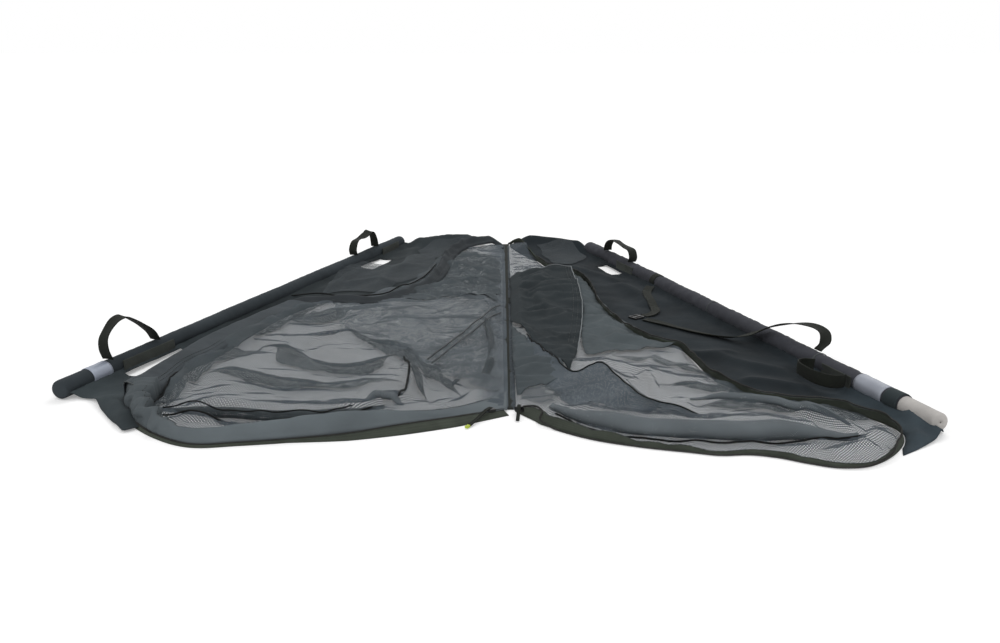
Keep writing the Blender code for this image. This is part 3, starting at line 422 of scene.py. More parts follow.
def ribbed_webbing(name, colour, rib=0.0016):
    """Woven webbing with ribs across its width."""
    web = Finish(name, colour, 0.8)
    ribs, cords = web.threads(rib, 0.0022)
    weave = web.math("ADD", ribs, web.math("MULTIPLY", cords, 0.6))
    web.tint(web.math("MULTIPLY", web.span(weave, 0.80, 1.22), web.patches(0.03, 0.85, 1.15)))
    web.relief(weave, 0.6, 0.0007)
    return web.as_cloth(0.12)


def small_finish(name, colour, roughness, grain, depth, metallic=0.0):
    """Moulded plastic, painted metal, alloy or foam: a fine grain and a slow variation."""
    part = Finish(name, colour, roughness, metallic)
    part.tint(part.patches(grain * 12, 0.88, 1.12))
    part.relief(part.patches(grain, 0.0, 1.0, 4.0), 0.4, depth)
    part.give("Roughness", part.patches(grain * 6, max(0.05, roughness - 0.10),
                                        min(1.0, roughness + 0.10)))
    return part.material


def reflective_cloth(name, colour):
    """Retro-reflective strip: a fine diamond grain and a soft shine."""
    strip = Finish(name, colour, 0.42, 0.15)
    warp, weft = strip.threads(0.0022, turn=math.pi / 4)
    shade = strip.span(strip.math("MINIMUM", warp, weft), 0.88, 1.0, 0.0, 0.12)
    strip.tint(strip.math("MULTIPLY", shade, strip.patches(0.03, 0.92, 1.06)))
    strip.relief(strip.math("ADD", warp, weft), 0.25, 0.0003)
    return strip.material

# %% [markdown]
# The real sling uses few cloths: a light grey net, a mid grey ripstop-like band cloth, a darker
# slate cloth for the skirts, a purple-grey cloth on the sleeves, olive tape and black webbing.
# Their colours were read from lit, flat places, so that they look right in plain light.

# %% The sling's finishes
# Painted shade: net_grey's strands widen over the last few centimetres before the keel, so the net darkens
# there; right of the keel, on the flap, they stay wide.
net_grey = knotted_net("net_grey", (0.078, 0.094, 0.108), 0.215, painted_net_shade=(-0.050, -0.018, 0.37))
net_light = knotted_net("net_light", (0.084, 0.100, 0.115), 0.190)
net_double = knotted_net("net_double", (0.070, 0.084, 0.092), 0.250)
net_pleat = knotted_net("net_pleat", (0.082, 0.098, 0.110), 0.150)
net_lining = knotted_net("net_lining", (0.140, 0.161, 0.176), 0.150)
# Painted shade: this dark, dense net stands for the shadow in creases, and for the shaded inside of the
# left roll as well as its extra layers.
net_dense_and_shade = knotted_net("net_dense_and_shade", (0.052, 0.062, 0.068), 0.290)
net_over_skirt = knotted_net("net_over_skirt", (0.056, 0.066, 0.073), 0.190)
net_roll = knotted_net("net_roll", (0.130, 0.149, 0.161), 0.290)
# Painted shade: the front band's colour darkens towards the left corner, where the band lies in shade.
band_grey = woven_cloth("band_grey", (0.122, 0.142, 0.153), patchy=0.10, painted_shade=(-0.57, -0.40, 0.52))
side_grey = woven_cloth("side_grey", (0.054, 0.063, 0.070), patchy=0.18)
panel_light = woven_cloth("panel_light", (0.066, 0.079, 0.086), 0.0014, 0.16, 0.92)
panel_side = woven_cloth("panel_side", (0.080, 0.095, 0.102), 0.0014, 0.16, 0.92)
panel_dark = woven_cloth("panel_dark", (0.025, 0.031, 0.034), 0.0014, 0.14, 0.90)
far_grey = woven_cloth("far_grey", (0.034, 0.039, 0.043), patchy=0.22)
# Painted shade: each skirt's colour is darkened over most of its width, and keeps its full colour only
# towards its outer corner.
skirt_left = woven_cloth("skirt_left", (0.044, 0.055, 0.060), patchy=0.24, painted_shade=(-0.50, -0.57, 0.56))
skirt_right = woven_cloth("skirt_right", (0.044, 0.059, 0.070), patchy=0.24, painted_shade=(0.46, 0.54, 0.30))
sleeve_left_slate = woven_cloth("sleeve_left_slate", (0.036, 0.044, 0.050), patchy=0.18)
sleeve_right_grey = woven_cloth("sleeve_right_grey", (0.050, 0.052, 0.061), patchy=0.18)
cuff_slate = woven_cloth("cuff_slate", (0.036, 0.046, 0.050))
olive_tape = ribbed_webbing("olive_tape", (0.052, 0.060, 0.048), 0.0013)
hole_webbing = ribbed_webbing("hole_webbing", (0.050, 0.055, 0.050))
black_webbing = ribbed_webbing("black_webbing", (0.014, 0.016, 0.013))
black_binding = ribbed_webbing("black_binding", (0.008, 0.009, 0.009), 0.0012)
reflective_left = reflective_cloth("reflective_left", (0.330, 0.365, 0.440))
reflective_right = reflective_cloth("reflective_right", (0.300, 0.320, 0.370))
coil_grey = small_finish("coil_grey", (0.017, 0.017, 0.015), 0.75, 0.002, 0.0001)
foam_pale = small_finish("foam_pale", (0.470, 0.450, 0.430), 0.85, 0.0025, 0.0006)
alloy = small_finish("alloy", (0.360, 0.360, 0.370), 0.35, 0.003, 0.00005, 1.0)
plug_black = small_finish("plug_black", (0.016, 0.016, 0.017), 0.5, 0.002, 0.0001)
slider_black = small_finish("slider_black", (0.035, 0.035, 0.036), 0.38, 0.002, 0.0001, 0.7)
pull_yellow = small_finish("pull_yellow", (0.420, 0.520, 0.030), 0.45, 0.002, 0.0001)
thread_grey = small_finish("thread_grey", (0.150, 0.165, 0.175), 0.7, 0.001, 0.0001)
thread_dark = small_finish("thread_dark", (0.030, 0.036, 0.038), 0.7, 0.001, 0.0001)
print("finishes:", len(bpy.data.materials))

# %% [markdown]
# Cloth pieces are made in two ways. A band, tape or sleeve is lofted: we lay several lines side
# by side and skin them, which follows a seam closely. A panel is cut: its outline is filled with
# small triangles, and then each corner is lifted to the height at which the cloth lies there.

# %% Tools that make cloth
UP = np.array((0.0, 0.0, 1.0))


def keep_piece(name, mesh, material, body, replaced=()):
    """Puts a finished mesh in the scene, rides it on its body and hides the model's parts that it
    replaces.
    """
    mesh.materials.clear()
    mesh.materials.append(material)
    piece = bpy.data.objects.new(name, mesh)
    bpy.context.scene.collection.objects.link(piece)
    for face in mesh.polygons:
        face.use_smooth = True
    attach(piece, body)
    if replaced:
        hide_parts(*replaced)
    return piece


def mesh_from(name, points, faces, uv=None):
    mesh = bpy.data.meshes.new(name)
    mesh.from_pydata([tuple(p) for p in points], [], [tuple(f) for f in faces])
    if uv is not None:
        layer = mesh.uv_layers.new(name="UVMap")
        corners = np.empty(len(mesh.loops), dtype=np.int32)
        mesh.loops.foreach_get("vertex_index", corners)
        layer.data.foreach_set("uv", np.asarray(uv)[corners].astype(np.float32).ravel())
    mesh.update()
    return mesh


def loft_mesh(name, rows, ring=False, ends=()):
    """Skins lines that lie side by side, or all round when they make a ring. Ends names what
    closes a ring: a near cap, a far cap, or a bore. The UV map is in metres."""
    rows = np.asarray(rows, float)
    count, length = rows.shape[:2]
    across = np.cumsum(np.linalg.norm(np.diff(rows, axis=0), axis=2).mean(axis=1))
    uv = np.stack(np.meshgrid(run_lengths(rows[count // 2]), [0.0, *across]), 2).reshape(-1, 2)
    starts = [r * length for r in range(count)]
    pairs = list(zip(starts, starts[1:] + starts[:1]))[:count if ring else count - 1]
    faces = [(a + k, a + k + 1, b + k + 1, b + k) for a, b in pairs for k in range(length - 1)]
    if "near" in ends:
        faces.append(starts)
    if "far" in ends:
        faces.append([a + length - 1 for a in reversed(starts)])
    if "bore" in ends:
        faces += [(a + length - 1, a, b, b + length - 1) for a, b in pairs]
    mesh = mesh_from(name, rows.reshape(-1, 3), faces, uv)
    if ring:
        face_outwards(mesh)
    else:
        face_up(mesh)
    return mesh


def face_up(mesh):
    """Turns the faces of an open cloth over if most of them look down."""
    if sum(face.normal.z * face.area for face in mesh.polygons) < 0:
        mesh.flip_normals()
    mesh.update()


def face_outwards(mesh):
    """Turns the faces of a tube over if most of them look at its middle."""
    middle = sum((v.co for v in mesh.vertices), Vector()) / len(mesh.vertices)
    if sum((face.center - middle).dot(face.normal) * face.area for face in mesh.polygons) < 0:
        mesh.flip_normals()
    mesh.update()


def give_thickness(piece, thickness, offset=0.0):
    solid = piece.modifiers.new("Thickness", "SOLIDIFY")
    solid.thickness = thickness
    solid.offset = offset
    graph = bpy.context.evaluated_depsgraph_get()
    made = bpy.data.meshes.new_from_object(piece.evaluated_get(graph), depsgraph=graph)
    piece.modifiers.clear()
    old = piece.data
    piece.data = made
    bpy.data.meshes.remove(old)


def declare_cloth(piece):
    """Prints the piece's area of cloth, halved for a closed skin, and its number of faces."""
    area = sum(face.area for face in piece.data.polygons)
    if sum(len(face.edge_keys) for face in piece.data.polygons) == 2 * len(piece.data.edges):
        area /= 2
    print("%s: %.3f square metres, %d faces" % (piece.name, area, len(piece.data.polygons)))


def keep_cloth(name, mesh, material, body, slot, replaced=(), thickness=0.0008, held="laid",
               rests_on=("keel_binding",)):
    """Keeps a mesh as a sheet of cloth."""
    piece = keep_piece(name, mesh, material, body, replaced)
    if thickness:
        give_thickness(piece, thickness)
    declare_cloth(piece)


def lofted_cloth(name, rows, *rest, **more):
    keep_cloth(name, loft_mesh(name, rows), *rest, **more)


def cut_cloth(name, outline, ground, gap, *rest, holes=(), **more):
    keep_cloth(name, cut_mesh(name, outline, ground, gap, holes), *rest, **more)


def inside_outline(x, y, outline):
    """Which points lie inside a closed outline, by counting how often a ray crosses it."""
    inside = np.zeros(len(x), bool)
    ax, ay = outline[:, 0], outline[:, 1]
    bx, by = np.roll(ax, -1), np.roll(ay, -1)
    for x0, y0, x1, y1 in zip(ax, ay, bx, by):
        if y0 == y1:
            continue
        crosses = ((y0 > y) != (y1 > y)) & (x < (x1 - x0) * (y - y0) / (y1 - y0) + x0)
        inside ^= crosses
    return inside


def distance_to_line(x, y, line):
    """Distance on the plan to a line, where along it from 0 to 1, and which side (+ right)."""
    best = np.full(len(x), 1e9)
    where = np.zeros(len(x))
    side = np.ones(len(x))
    lengths = run_lengths(line[:, :2])
    total = max(lengths[-1], 1e-9)
    for k in range(len(line) - 1):
        ax, ay = line[k, :2]
        dx, dy = line[k + 1, :2] - line[k, :2]
        run = dx * dx + dy * dy
        t = np.clip(((x - ax) * dx + (y - ay) * dy) / max(run, 1e-12), 0, 1)
        away = np.hypot(x - ax - t * dx, y - ay - t * dy)
        closer = away < best
        best = np.where(closer, away, best)
        where = np.where(closer, (lengths[k] + t * math.sqrt(run)) / total, where)
        side = np.where(closer, np.sign((x - ax) * dy - (y - ay) * dx), side)
    return best, where, side


def inside_cloth(x, y, borders):
    """Which points lie inside the outer border and outside every hole."""
    inside = inside_outline(x, y, borders[0])
    for hole in borders[1:]:
        inside &= ~inside_outline(x, y, hole)
    return inside


def cut_mesh(name, outline, ground, gap, holes=()):
    """Fills an outline with small triangles and lifts each corner to ground(x, y)."""
    borders = []
    for loop in [outline, *holes]:
        closed = np.vstack((loop[:, :2], loop[:1, :2]))
        count = max(8, round(run_lengths(closed)[-1] / gap))
        borders.append(even_line(closed, count + 1)[:-1])
    low = borders[0].min(0)
    high = borders[0].max(0)
    rise = gap * math.sqrt(3) / 2
    rows = [np.arange(low[0] + (k % 2) * gap / 2, high[0], gap) for k in
            range(int((high[1] - low[1]) / rise) + 1)]
    x = np.concatenate(rows)
    y = np.concatenate([np.full(len(r), low[1] + k * rise) for k, r in enumerate(rows)])
    keep = inside_cloth(x, y, borders)
    x, y = x[keep], y[keep]
    for border in borders:
        away, _, _ = distance_to_line(x, y, np.vstack((border, border[:1])))
        x, y = x[away > gap * 0.55], y[away > gap * 0.55]
    points = np.vstack(borders + [np.stack((x, y), 1)])
    edges = []
    start = 0
    for border in borders:
        n = len(border)
        edges += [(start + k, start + (k + 1) % n) for k in range(n)]
        start += n
    corners, _, faces, _, _, _ = delaunay_2d_cdt([Vector(p) for p in points], edges, [], 1, 1e-7)
    plan = np.array([(c.x, c.y) for c in corners])
    middles = np.array([plan[list(f)].mean(0) for f in faces])
    keep = inside_cloth(middles[:, 0], middles[:, 1], borders)
    faces = [f for f, k in zip(faces, keep) if k]
    used = np.unique(np.array([c for f in faces for c in f]))
    renumber = {int(old): new for new, old in enumerate(used)}
    faces = [tuple(renumber[c] for c in f) for f in faces]
    plan = plan[used]
    height = ground(plan[:, 0], plan[:, 1])
    mesh = mesh_from(name, np.column_stack((plan, height)), faces, plan)
    face_up(mesh)
    return mesh


def tube_mesh(name, line, radius, sides):
    """A round cord or binding along a line, closed at both ends."""
    way = unit(np.gradient(line, axis=0))
    right = unit(np.cross(way, UP))
    top = np.cross(right, way)
    rows = [line + (right * math.cos(a) + top * math.sin(a)) * radius
            for a in np.linspace(0, 2 * math.pi, sides, endpoint=False)]
    return loft_mesh(name, rows, True, ("near", "far"))


def round_piece(name, line, radius, material, body, replaced=(), sides=8):
    keep_piece(name, tube_mesh(name, line, radius, sides), material, body, replaced)


def rings_round(bar, along, sides, radius_at):
    """Lengthwise lines round a bar, from its inner flank over the top. Each line's radius is
    radius_at(its turn)."""
    centre = bar.near + np.outer(along, bar.along)
    rows = []
    for turn in np.linspace(0, 2 * math.pi, sides, endpoint=False):
        size = radius_at(turn) * np.ones(len(along))
        rows.append(centre + np.outer(size * math.cos(turn), bar.inward)
                    + np.outer(size * math.sin(turn), UP))
    return np.array(rows)

# %% [markdown]
# The floor bars are the two long edges. Each is a foam float on a pole inside a fabric sleeve.
# The sleeve is a tube with small puckers, because its cloth is gathered a little where it is
# sewn.

# %% The sleeves
SLEEVE_STEPS = 260
SLEEVE_SIDES = 28
SLEEVE_LEAST = 0.0138
SEAM_STEPS = np.array((0.0, 0.0008, 0.0018, 0.0034))
GATHER = np.array((0.10, 0.66, 0.90, 0.98))
TIGHT_PLACES = {"left": ((0.054, 0.104),),
                "right": ((-0.002, 0.104), (0.788, 0.818), (0.922, 0.956), (1.064, 1.096))}


def under_bands(along, bar):
    """True where a band sewn round the sleeve holds its cloth tight."""
    places = TIGHT_PLACES[bar.side]
    return np.any([(along > start) & (along < end) for start, end in places], axis=0)


def sleeve_rows(bar, start, puckers, seed):
    """The lines of a sleeve, with the puckers that its cloth gets where it is sewn."""
    end = bar.length + 0.003
    along = np.concatenate((start + SEAM_STEPS, np.linspace(start + 0.006, end - 0.006, SLEEVE_STEPS),
                            end - SEAM_STEPS[::-1]))

    def radius_at(turn):
        around = turn * SLEEVE_RADIUS
        ring = noise(along, around * 0.5, 0.008, seed)
        long = noise(along, around, 0.030, seed + 1, 3.0)
        flank = 0.35 + 0.65 * abs(math.cos(turn))
        slack = SLEEVE_LEAST + 0.0005 * (1 + long) + puckers * 0.5 * (1 + ring) * flank
        if math.sin(turn) < -0.6:
            slack = slack * 0.985
        return np.where(under_bands(along, bar), np.minimum(slack, SLEEVE_RADIUS - 0.0003), slack)

    return rings_round(bar, along, SLEEVE_SIDES, radius_at)


def sleeve(bar, start, ends, puckers, seed, material, nodes):
    """A sleeve whose closed ends are drawn in. An open mouth shows the cloth's thickness."""
    rows = sleeve_rows(bar, start, puckers, seed)
    share = np.ones(rows.shape[1])
    share[:-5:-1] = GATHER
    if "near" in ends:
        share[:4] = GATHER
    centre = rows.mean(0)
    rows = centre + (rows - centre) * share[:, None]
    name = bar.side + "_sleeve_cloth"
    piece = keep_piece(name, loft_mesh(name, rows, True, ends), material, bar.body,
                       nodes)
    if "near" not in ends:
        give_thickness(piece, 0.0007, -1.0)


sleeve(left_bar, -0.003, ("near", "far"), 0.0009, 11, sleeve_left_slate,
       ("left_sleeve", "left_sleeve_near_end", "left_sleeve_far_end"))
sleeve(right_bar, 0.0, ("far",), 0.0026, 23, sleeve_right_grey,
       ("right_sleeve", "right_sleeve_far_end"))

# %% [markdown]
# The skirts are the slate cloth between each float bar and the zip. They lie nearly flat, with
# low, slanting wrinkles, and each has two hand holes by the bar, where fingers go round it.

# %% The skirts
SKIRT_GAP = 0.0065
SKIRT_INSET = 0.0100


def hole_outline(bar, hole):
    start, end, start_width, end_width = hole
    return np.array([bar.point(start, HAND_HOLE_INSET), bar.point(end, HAND_HOLE_INSET),
                     bar.point(end, HAND_HOLE_INSET + end_width),
                     bar.point(start, HAND_HOLE_INSET + start_width)])


def raised_folds(x, y, folds):
    """Adds up folds: each is a line, its rise, and its width on the near and far side."""
    height = np.zeros(len(x))
    for line, rise, near_width, far_width in folds:
        away, where, side = distance_to_line(x, y, line)
        width = np.where(side > 0, near_width, far_width)
        shape = np.exp(-(away / width) ** np.where(side > 0, 1.7, 1.3))
        height = np.maximum(height, rise * taper(where, 0.22) * shape) + 0.25 * np.minimum(
            height, rise * taper(where, 0.22) * shape)
    return height


def px_fold(pixels, rise, near_width, far_width=None, height=0.010, gap=0.02):
    """A fold whose crest shows along these pixels, from left to right."""
    line = spaced_line(spots(pixels, height), gap)
    return line, rise, near_width, far_width or near_width


def skirt_ground(bar, folds, *layers):
    """Gives the function for a skirt's height: it rises to the bar, and has folds and ripples."""
    def ground(x, y):
        away = (x - bar.near[0]) * bar.inward[0] + (y - bar.near[1]) * bar.inward[1]
        lift = 0.0027 + 0.011 * np.exp(-((away - SKIRT_INSET) / 0.010) ** 2)
        height = lift + raised_folds(x, y, folds) + ripples(x, y, *layers)
        return np.clip(height, 0.0008, fold_limit(x) + 0.004)

    return ground


def skirt(bar, near_edge, rim, far_edge, ground, material, holes):
    """The slate cloth between a bar and the zip, with its hand holes."""
    outer = bar.line(0.0, bar.length, 24, SKIRT_INSET, 0.0)
    near, far = plan_line(near_edge, 5), plan_line(far_edge, 5)
    outline = np.vstack((outer[::-1], near[1:], rim, far[::-1][:-1]))
    cut_cloth(bar.side + "_skirt_cloth", outline, ground, SKIRT_GAP, material, bar.body,
              "sleeve_cloth", (bar.side + "_skirt",), holes=[hole_outline(bar, h) for h in holes])


LEFT_SKIRT_FOLDS = [
    px_fold([(100, 392), (118, 404), (132, 420)], 0.010, 0.014, 0.022),
    px_fold([(80, 397), (100, 398), (118, 410), (130, 425)], 0.007, 0.010, 0.016),
    px_fold([(325, 292), (345, 278), (368, 265)], 0.010, 0.012, 0.020),
    px_fold([(372, 290), (395, 268), (425, 262)], 0.009, 0.014, 0.022),
    px_fold([(340, 284), (375, 279), (400, 284)], 0.010, 0.016, 0.022),
    px_fold([(405, 270), (412, 250), (430, 244)], 0.006, 0.014, 0.020),
    (plan_line([(-0.262, 0.550), (-0.171, 0.594), (-0.110, 0.606), (-0.054, 0.600)], 10),
     0.024, 0.036, 0.036),
    px_fold([(290, 290), (310, 280), (340, 272)], 0.006, 0.010, 0.016),
]
left_skirt_ground = skirt_ground(left_bar, LEFT_SKIRT_FOLDS, (0.0022, 0.05, 31, 2.2, 1.1),
                                 (0.0010, 0.018, 32, 2.0, 0.9))
left_skirt_rim = np.vstack((beside(left_coil, 0.0045)[95:], beside(left_fold, -0.0080)[3:]))
skirt(left_bar, LEFT_SKIRT_NEAR, left_skirt_rim, LEFT_SKIRT_FAR, left_skirt_ground,
      skirt_left, LEFT_HOLES)


RIGHT_SKIRT_FOLDS = [
    px_fold([(612, 280), (640, 292), (652, 305)], 0.010, 0.016, 0.024),
    px_fold([(660, 345), (700, 352), (745, 350)], 0.008, 0.016, 0.022),
    px_fold([(700, 345), (740, 360), (800, 372)], 0.008, 0.018, 0.026),
    px_fold([(735, 375), (770, 380), (815, 388)], 0.008, 0.014, 0.020),
    px_fold([(905, 410), (915, 425), (922, 440)], 0.008, 0.010, 0.016),
    px_fold([(560, 262), (590, 270), (625, 282)], 0.007, 0.014, 0.020),
    (plan_line([(0.210, 0.470), (0.120, 0.556), (0.060, 0.590), (0.016, 0.590)], 10),
     0.025, 0.036, 0.036),
    px_fold([(548, 252), (570, 248), (590, 252)], 0.007, 0.012, 0.016),
]
right_skirt_ground = skirt_ground(right_bar, RIGHT_SKIRT_FOLDS, (0.0024, 0.06, 41, 2.4, 2.0),
                                  (0.0008, 0.02, 42, 2.0, 2.2))
right_skirt_rim = np.vstack((beside(right_rim, 0.0012)[10 * RIGHT_RIM_CORNER - 4:],
                             plan_line(RIGHT_SKIRT_KEEL, 5)))
skirt(right_bar, RIGHT_SKIRT_NEAR, right_skirt_rim, RIGHT_SKIRT_FAR, right_skirt_ground,
      skirt_right, RIGHT_HOLES)

# %% [markdown]
# The rim of the left half is built like a shallow tray. A band of plain grey cloth stands on
# the zip along the front, turns the corner, and lies back over the side. The cloth is slack, so
# it has puckers where it turns, and its top edge wanders a little.

# %% The bands of the left rim
def band_rows(line, profile, heights, wrinkle, seed):
    """Lines beside a rim: the profile gives each line's place inwards and share of height."""
    along = run_lengths(line)
    rows = []
    for k, (inward, share) in enumerate(profile):
        row = beside(line, inward)
        row[:, 2] = line[:, 2] + (heights - line[:, 2]) * share
        sway = noise(along, k * 0.006, 0.022, seed)
        fine = noise(along, k * 0.010, 0.009, seed + 1)
        row += to_right(line) * (wrinkle * (sway + 0.4 * fine) * np.sin(share * 2.2))[:, None]
        row[:, 2] += wrinkle * 0.5 * sway * share
        row[:, 2] = np.clip(row[:, 2], 0.0012, np.maximum(fold_limit(row[:, 0]) + 0.0005, 0.0012))
        rows.append(row)
    return rows


front_line = even_line(left_front, 300)
front_share = np.linspace(0, 1, len(front_line))
front_tops = np.interp(front_share, np.linspace(0, 1, len(LEFT_BAND_TOP)), LEFT_BAND_TOP)
FRONT_PROFILE = [(0.0010, 0.02), (0.0034, 0.20), (0.0046, 0.40), (0.0060, 0.62), (0.0078, 0.84),
                 (0.0096, 0.97), (0.0118, 1.0), (0.0142, 0.92), (0.0158, 0.72), (0.0162, 0.40),
                 (0.0164, 0.10)]
CORNER_WIDTH = 0.034
KEEL_WIDTH = 0.042
KEEL_GAP = -0.0030
CORNER_PUCKER = 0.0064
BAND_FOOT = 0.0018
keel_ease = np.clip(1.0 - front_share / 0.16, 0, 1) ** 1.4
corner_ease = np.clip((front_share - 0.80) / 0.20, 0, 1) ** 1.5


def front_band_rows():
    """The rolled band of the front. Towards the corner its top widens to meet the side band."""
    profile = []
    for inward, share in FRONT_PROFILE:
        widen = max(0.0, inward - 0.0078) / 0.0080
        profile.append((inward + CORNER_WIDTH * widen * corner_ease
                        + KEEL_WIDTH * (inward - 0.0022) / 0.0136 * keel_ease,
                        share + (0.92 - share) * corner_ease * (widen > 0.6) * (share > 0.7)))
    slack = 0.0016 * (1.0 + 4.0 * np.exp(-((front_share - 0.84) / 0.12) ** 2))
    rows = band_rows(front_line, profile, front_tops, slack, 51)
    way = unit(np.gradient(front_line, axis=0))
    for row, (inward, _) in zip(rows, FRONT_PROFILE):
        row -= way * (2.2 * (inward - 0.0022) * keel_ease)[:, None]
        row[:, 0] = np.minimum(row[:, 0], KEEL_GAP)
        row[:, 2] = np.minimum(row[:, 2], fold_limit(row[:, 0]) + 0.0010)
    crease = 1.0 - 2.4 * np.abs(noise(run_lengths(front_line), 0.0, 0.013, 57))
    near_corner = CORNER_PUCKER * np.exp(-((front_share - 0.86) / 0.11) ** 2)
    for row, (_, share) in zip(rows, FRONT_PROFILE):
        row += to_right(front_line) * (crease * near_corner * math.sin(share * 2.6))[:, None]
        row[:, 2] += 0.5 * crease * near_corner * share
    rows[-1][:, 2] = BAND_FOOT
    return rows


def reach_keel(row):
    """Lengthens a line of the band towards the keel, and lays its new end low."""
    row = row[3:]
    way = unit(row[0] - row[8])
    steps = np.linspace(1.0, 0.25, 4)[:, None] * (KEEL_GAP - row[0, 0]) / way[0]
    added = row[0] + way * steps
    added[:, 2] = np.minimum(row[0, 2], fold_limit(added[:, 0]) + 0.0010)
    return np.vstack((added, row))


front_rows = front_band_rows()
lofted_cloth("left_front_cloth", [reach_keel(row) for row in front_rows], band_grey, "left_half",
             "band_cloth", ("left_front_band",), held="stretched", rests_on=("left_zip_coil",))


side_line = even_line(left_side, 260)
side_share = np.linspace(0, 1, len(side_line))
SIDE_SEAM_PIXELS = [(147, 402), (160, 388), (172, 377), (189, 363), (214, 351), (240, 335),
                    (262, 322), (283, 311), (308, 301)]
side_inner = even_line(smooth_line(spots(SIDE_SEAM_PIXELS, 0.015)), len(side_line))
near_rise = 0.0125 * np.exp(-(run_lengths(side_line) / 0.055) ** 2)


def side_row(inward_share, height, wrinkle):
    """A line of the side band, from the outer edge at 0 to the inner seam at 1."""
    outer = at_height(beside(side_line, 0.0040), 0.0)
    row = outer + (side_inner - outer) * inward_share
    along = run_lengths(side_line)
    ripple = noise(along, inward_share * 0.06, 0.045, 61, 1.5)
    fine = noise(along, inward_share * 0.06, 0.016, 66)
    row[:, 2] = height * (1.0 - 0.30 * side_share) + wrinkle * (ripple + 0.4 * fine)
    row[:, 2] += near_rise * np.clip(height / 0.022, 0, 1)
    return row


SIDE_PROFILE = [(-0.035, 0.0022, 0.0), (-0.02, 0.010, 0.0004), (0.0, 0.018, 0.0010),
                (0.06, 0.0222, 0.0012), (0.18, 0.0232, 0.0016), (0.34, 0.0226, 0.0020),
                (0.52, 0.0212, 0.0022), (0.70, 0.0198, 0.0020), (0.86, 0.0184, 0.0014),
                (0.97, 0.0176, 0.0008), (1.03, 0.0150, 0.0004), (1.05, 0.0100, 0.0),
                (1.055, 0.0024, 0.0)]
side_rows = [side_row(*line) for line in SIDE_PROFILE]


def tucked_end(row):
    """Lengthens a line of the band, going down under the far band."""
    way = unit(row[-1] - row[-9])
    middle = row[-1] + way * 0.012
    last = row[-1] + way * 0.026
    middle[2] = row[-1, 2] * 0.7
    last[2] = min(row[-1, 2], 0.0045)
    return np.vstack((row, middle, last))


lofted_cloth("left_side_cloth", [tucked_end(row) for row in side_rows], side_grey, "left_half",
             "band_cloth", ("left_side_band",), held="laid", rests_on=("left_zip_coil",))

# %% [markdown]
# At the far end the left half's rim is a darker, softer band that folds over on itself and
# climbs to the end of the keel.

# %% The far band of the left half
FAR_GATHER = [(-0.024, 0.594, 0.013), (-0.0095, 0.572, 0.0048), (-0.0080, 0.530, 0.0036)]
far_line = even_line(smooth_line(LEFT_FAR_FOLD + FAR_GATHER), 260)
FAR_PROFILE = [(-0.0120, 0.0, 0.0), (-0.0095, 0.30, 0.0012), (-0.0060, 0.72, 0.0026),
               (-0.0015, 1.0, 0.0034), (0.0030, 0.93, 0.0034), (0.0075, 0.62, 0.0030),
               (0.0120, 0.50, 0.0024), (0.0165, 0.46, 0.0016), (0.0210, 0.30, 0.0008)]
far_share = np.linspace(0, 1, len(far_line))
far_reach = np.interp(far_share, [0, 0.86, 1.0], [1.0, 1.0, 0.30])
far_rows = []
far_run = run_lengths(far_line)
for inward, share, wrinkle in FAR_PROFILE:
    drift = 1.5 * wrinkle * noise(far_run, inward, 0.040, 72)
    row = far_line + to_right(far_line) * (inward * far_reach + drift)[:, None]
    row[:, 2] = 0.0022 + (far_line[:, 2] * 1.15 - 0.0022) * share
    row[:, 2] += wrinkle * noise(far_run, inward * 2, 0.024, 71)
    row[:, 0] = np.minimum(row[:, 0], -0.0024)
    row[:, 2] = np.clip(row[:, 2], 0.0012, fold_limit(row[:, 0]) + 0.0010)
    far_rows.append(row)
lofted_cloth("left_far_cloth", far_rows, far_grey, "left_half", "sleeve_cloth",
             ("left_far_band",), held="laid", rests_on=("left_mesh_panel",))

# %% [markdown]
# The net is the heart of the sling. It is one large slack sheet on each half, lying in long
# folds. A fold shows twice: its crest catches light, and where the net lies on itself less of
# the ground shows through. So the sheet gets crests where the photograph shows them, and long
# doubled pleats are laid over it as further sheets of the same net.

# %% The net of the left half
NET_GAP = 0.0058
NET_BASE = 0.0024
KEEL_EDGE = 0.0014

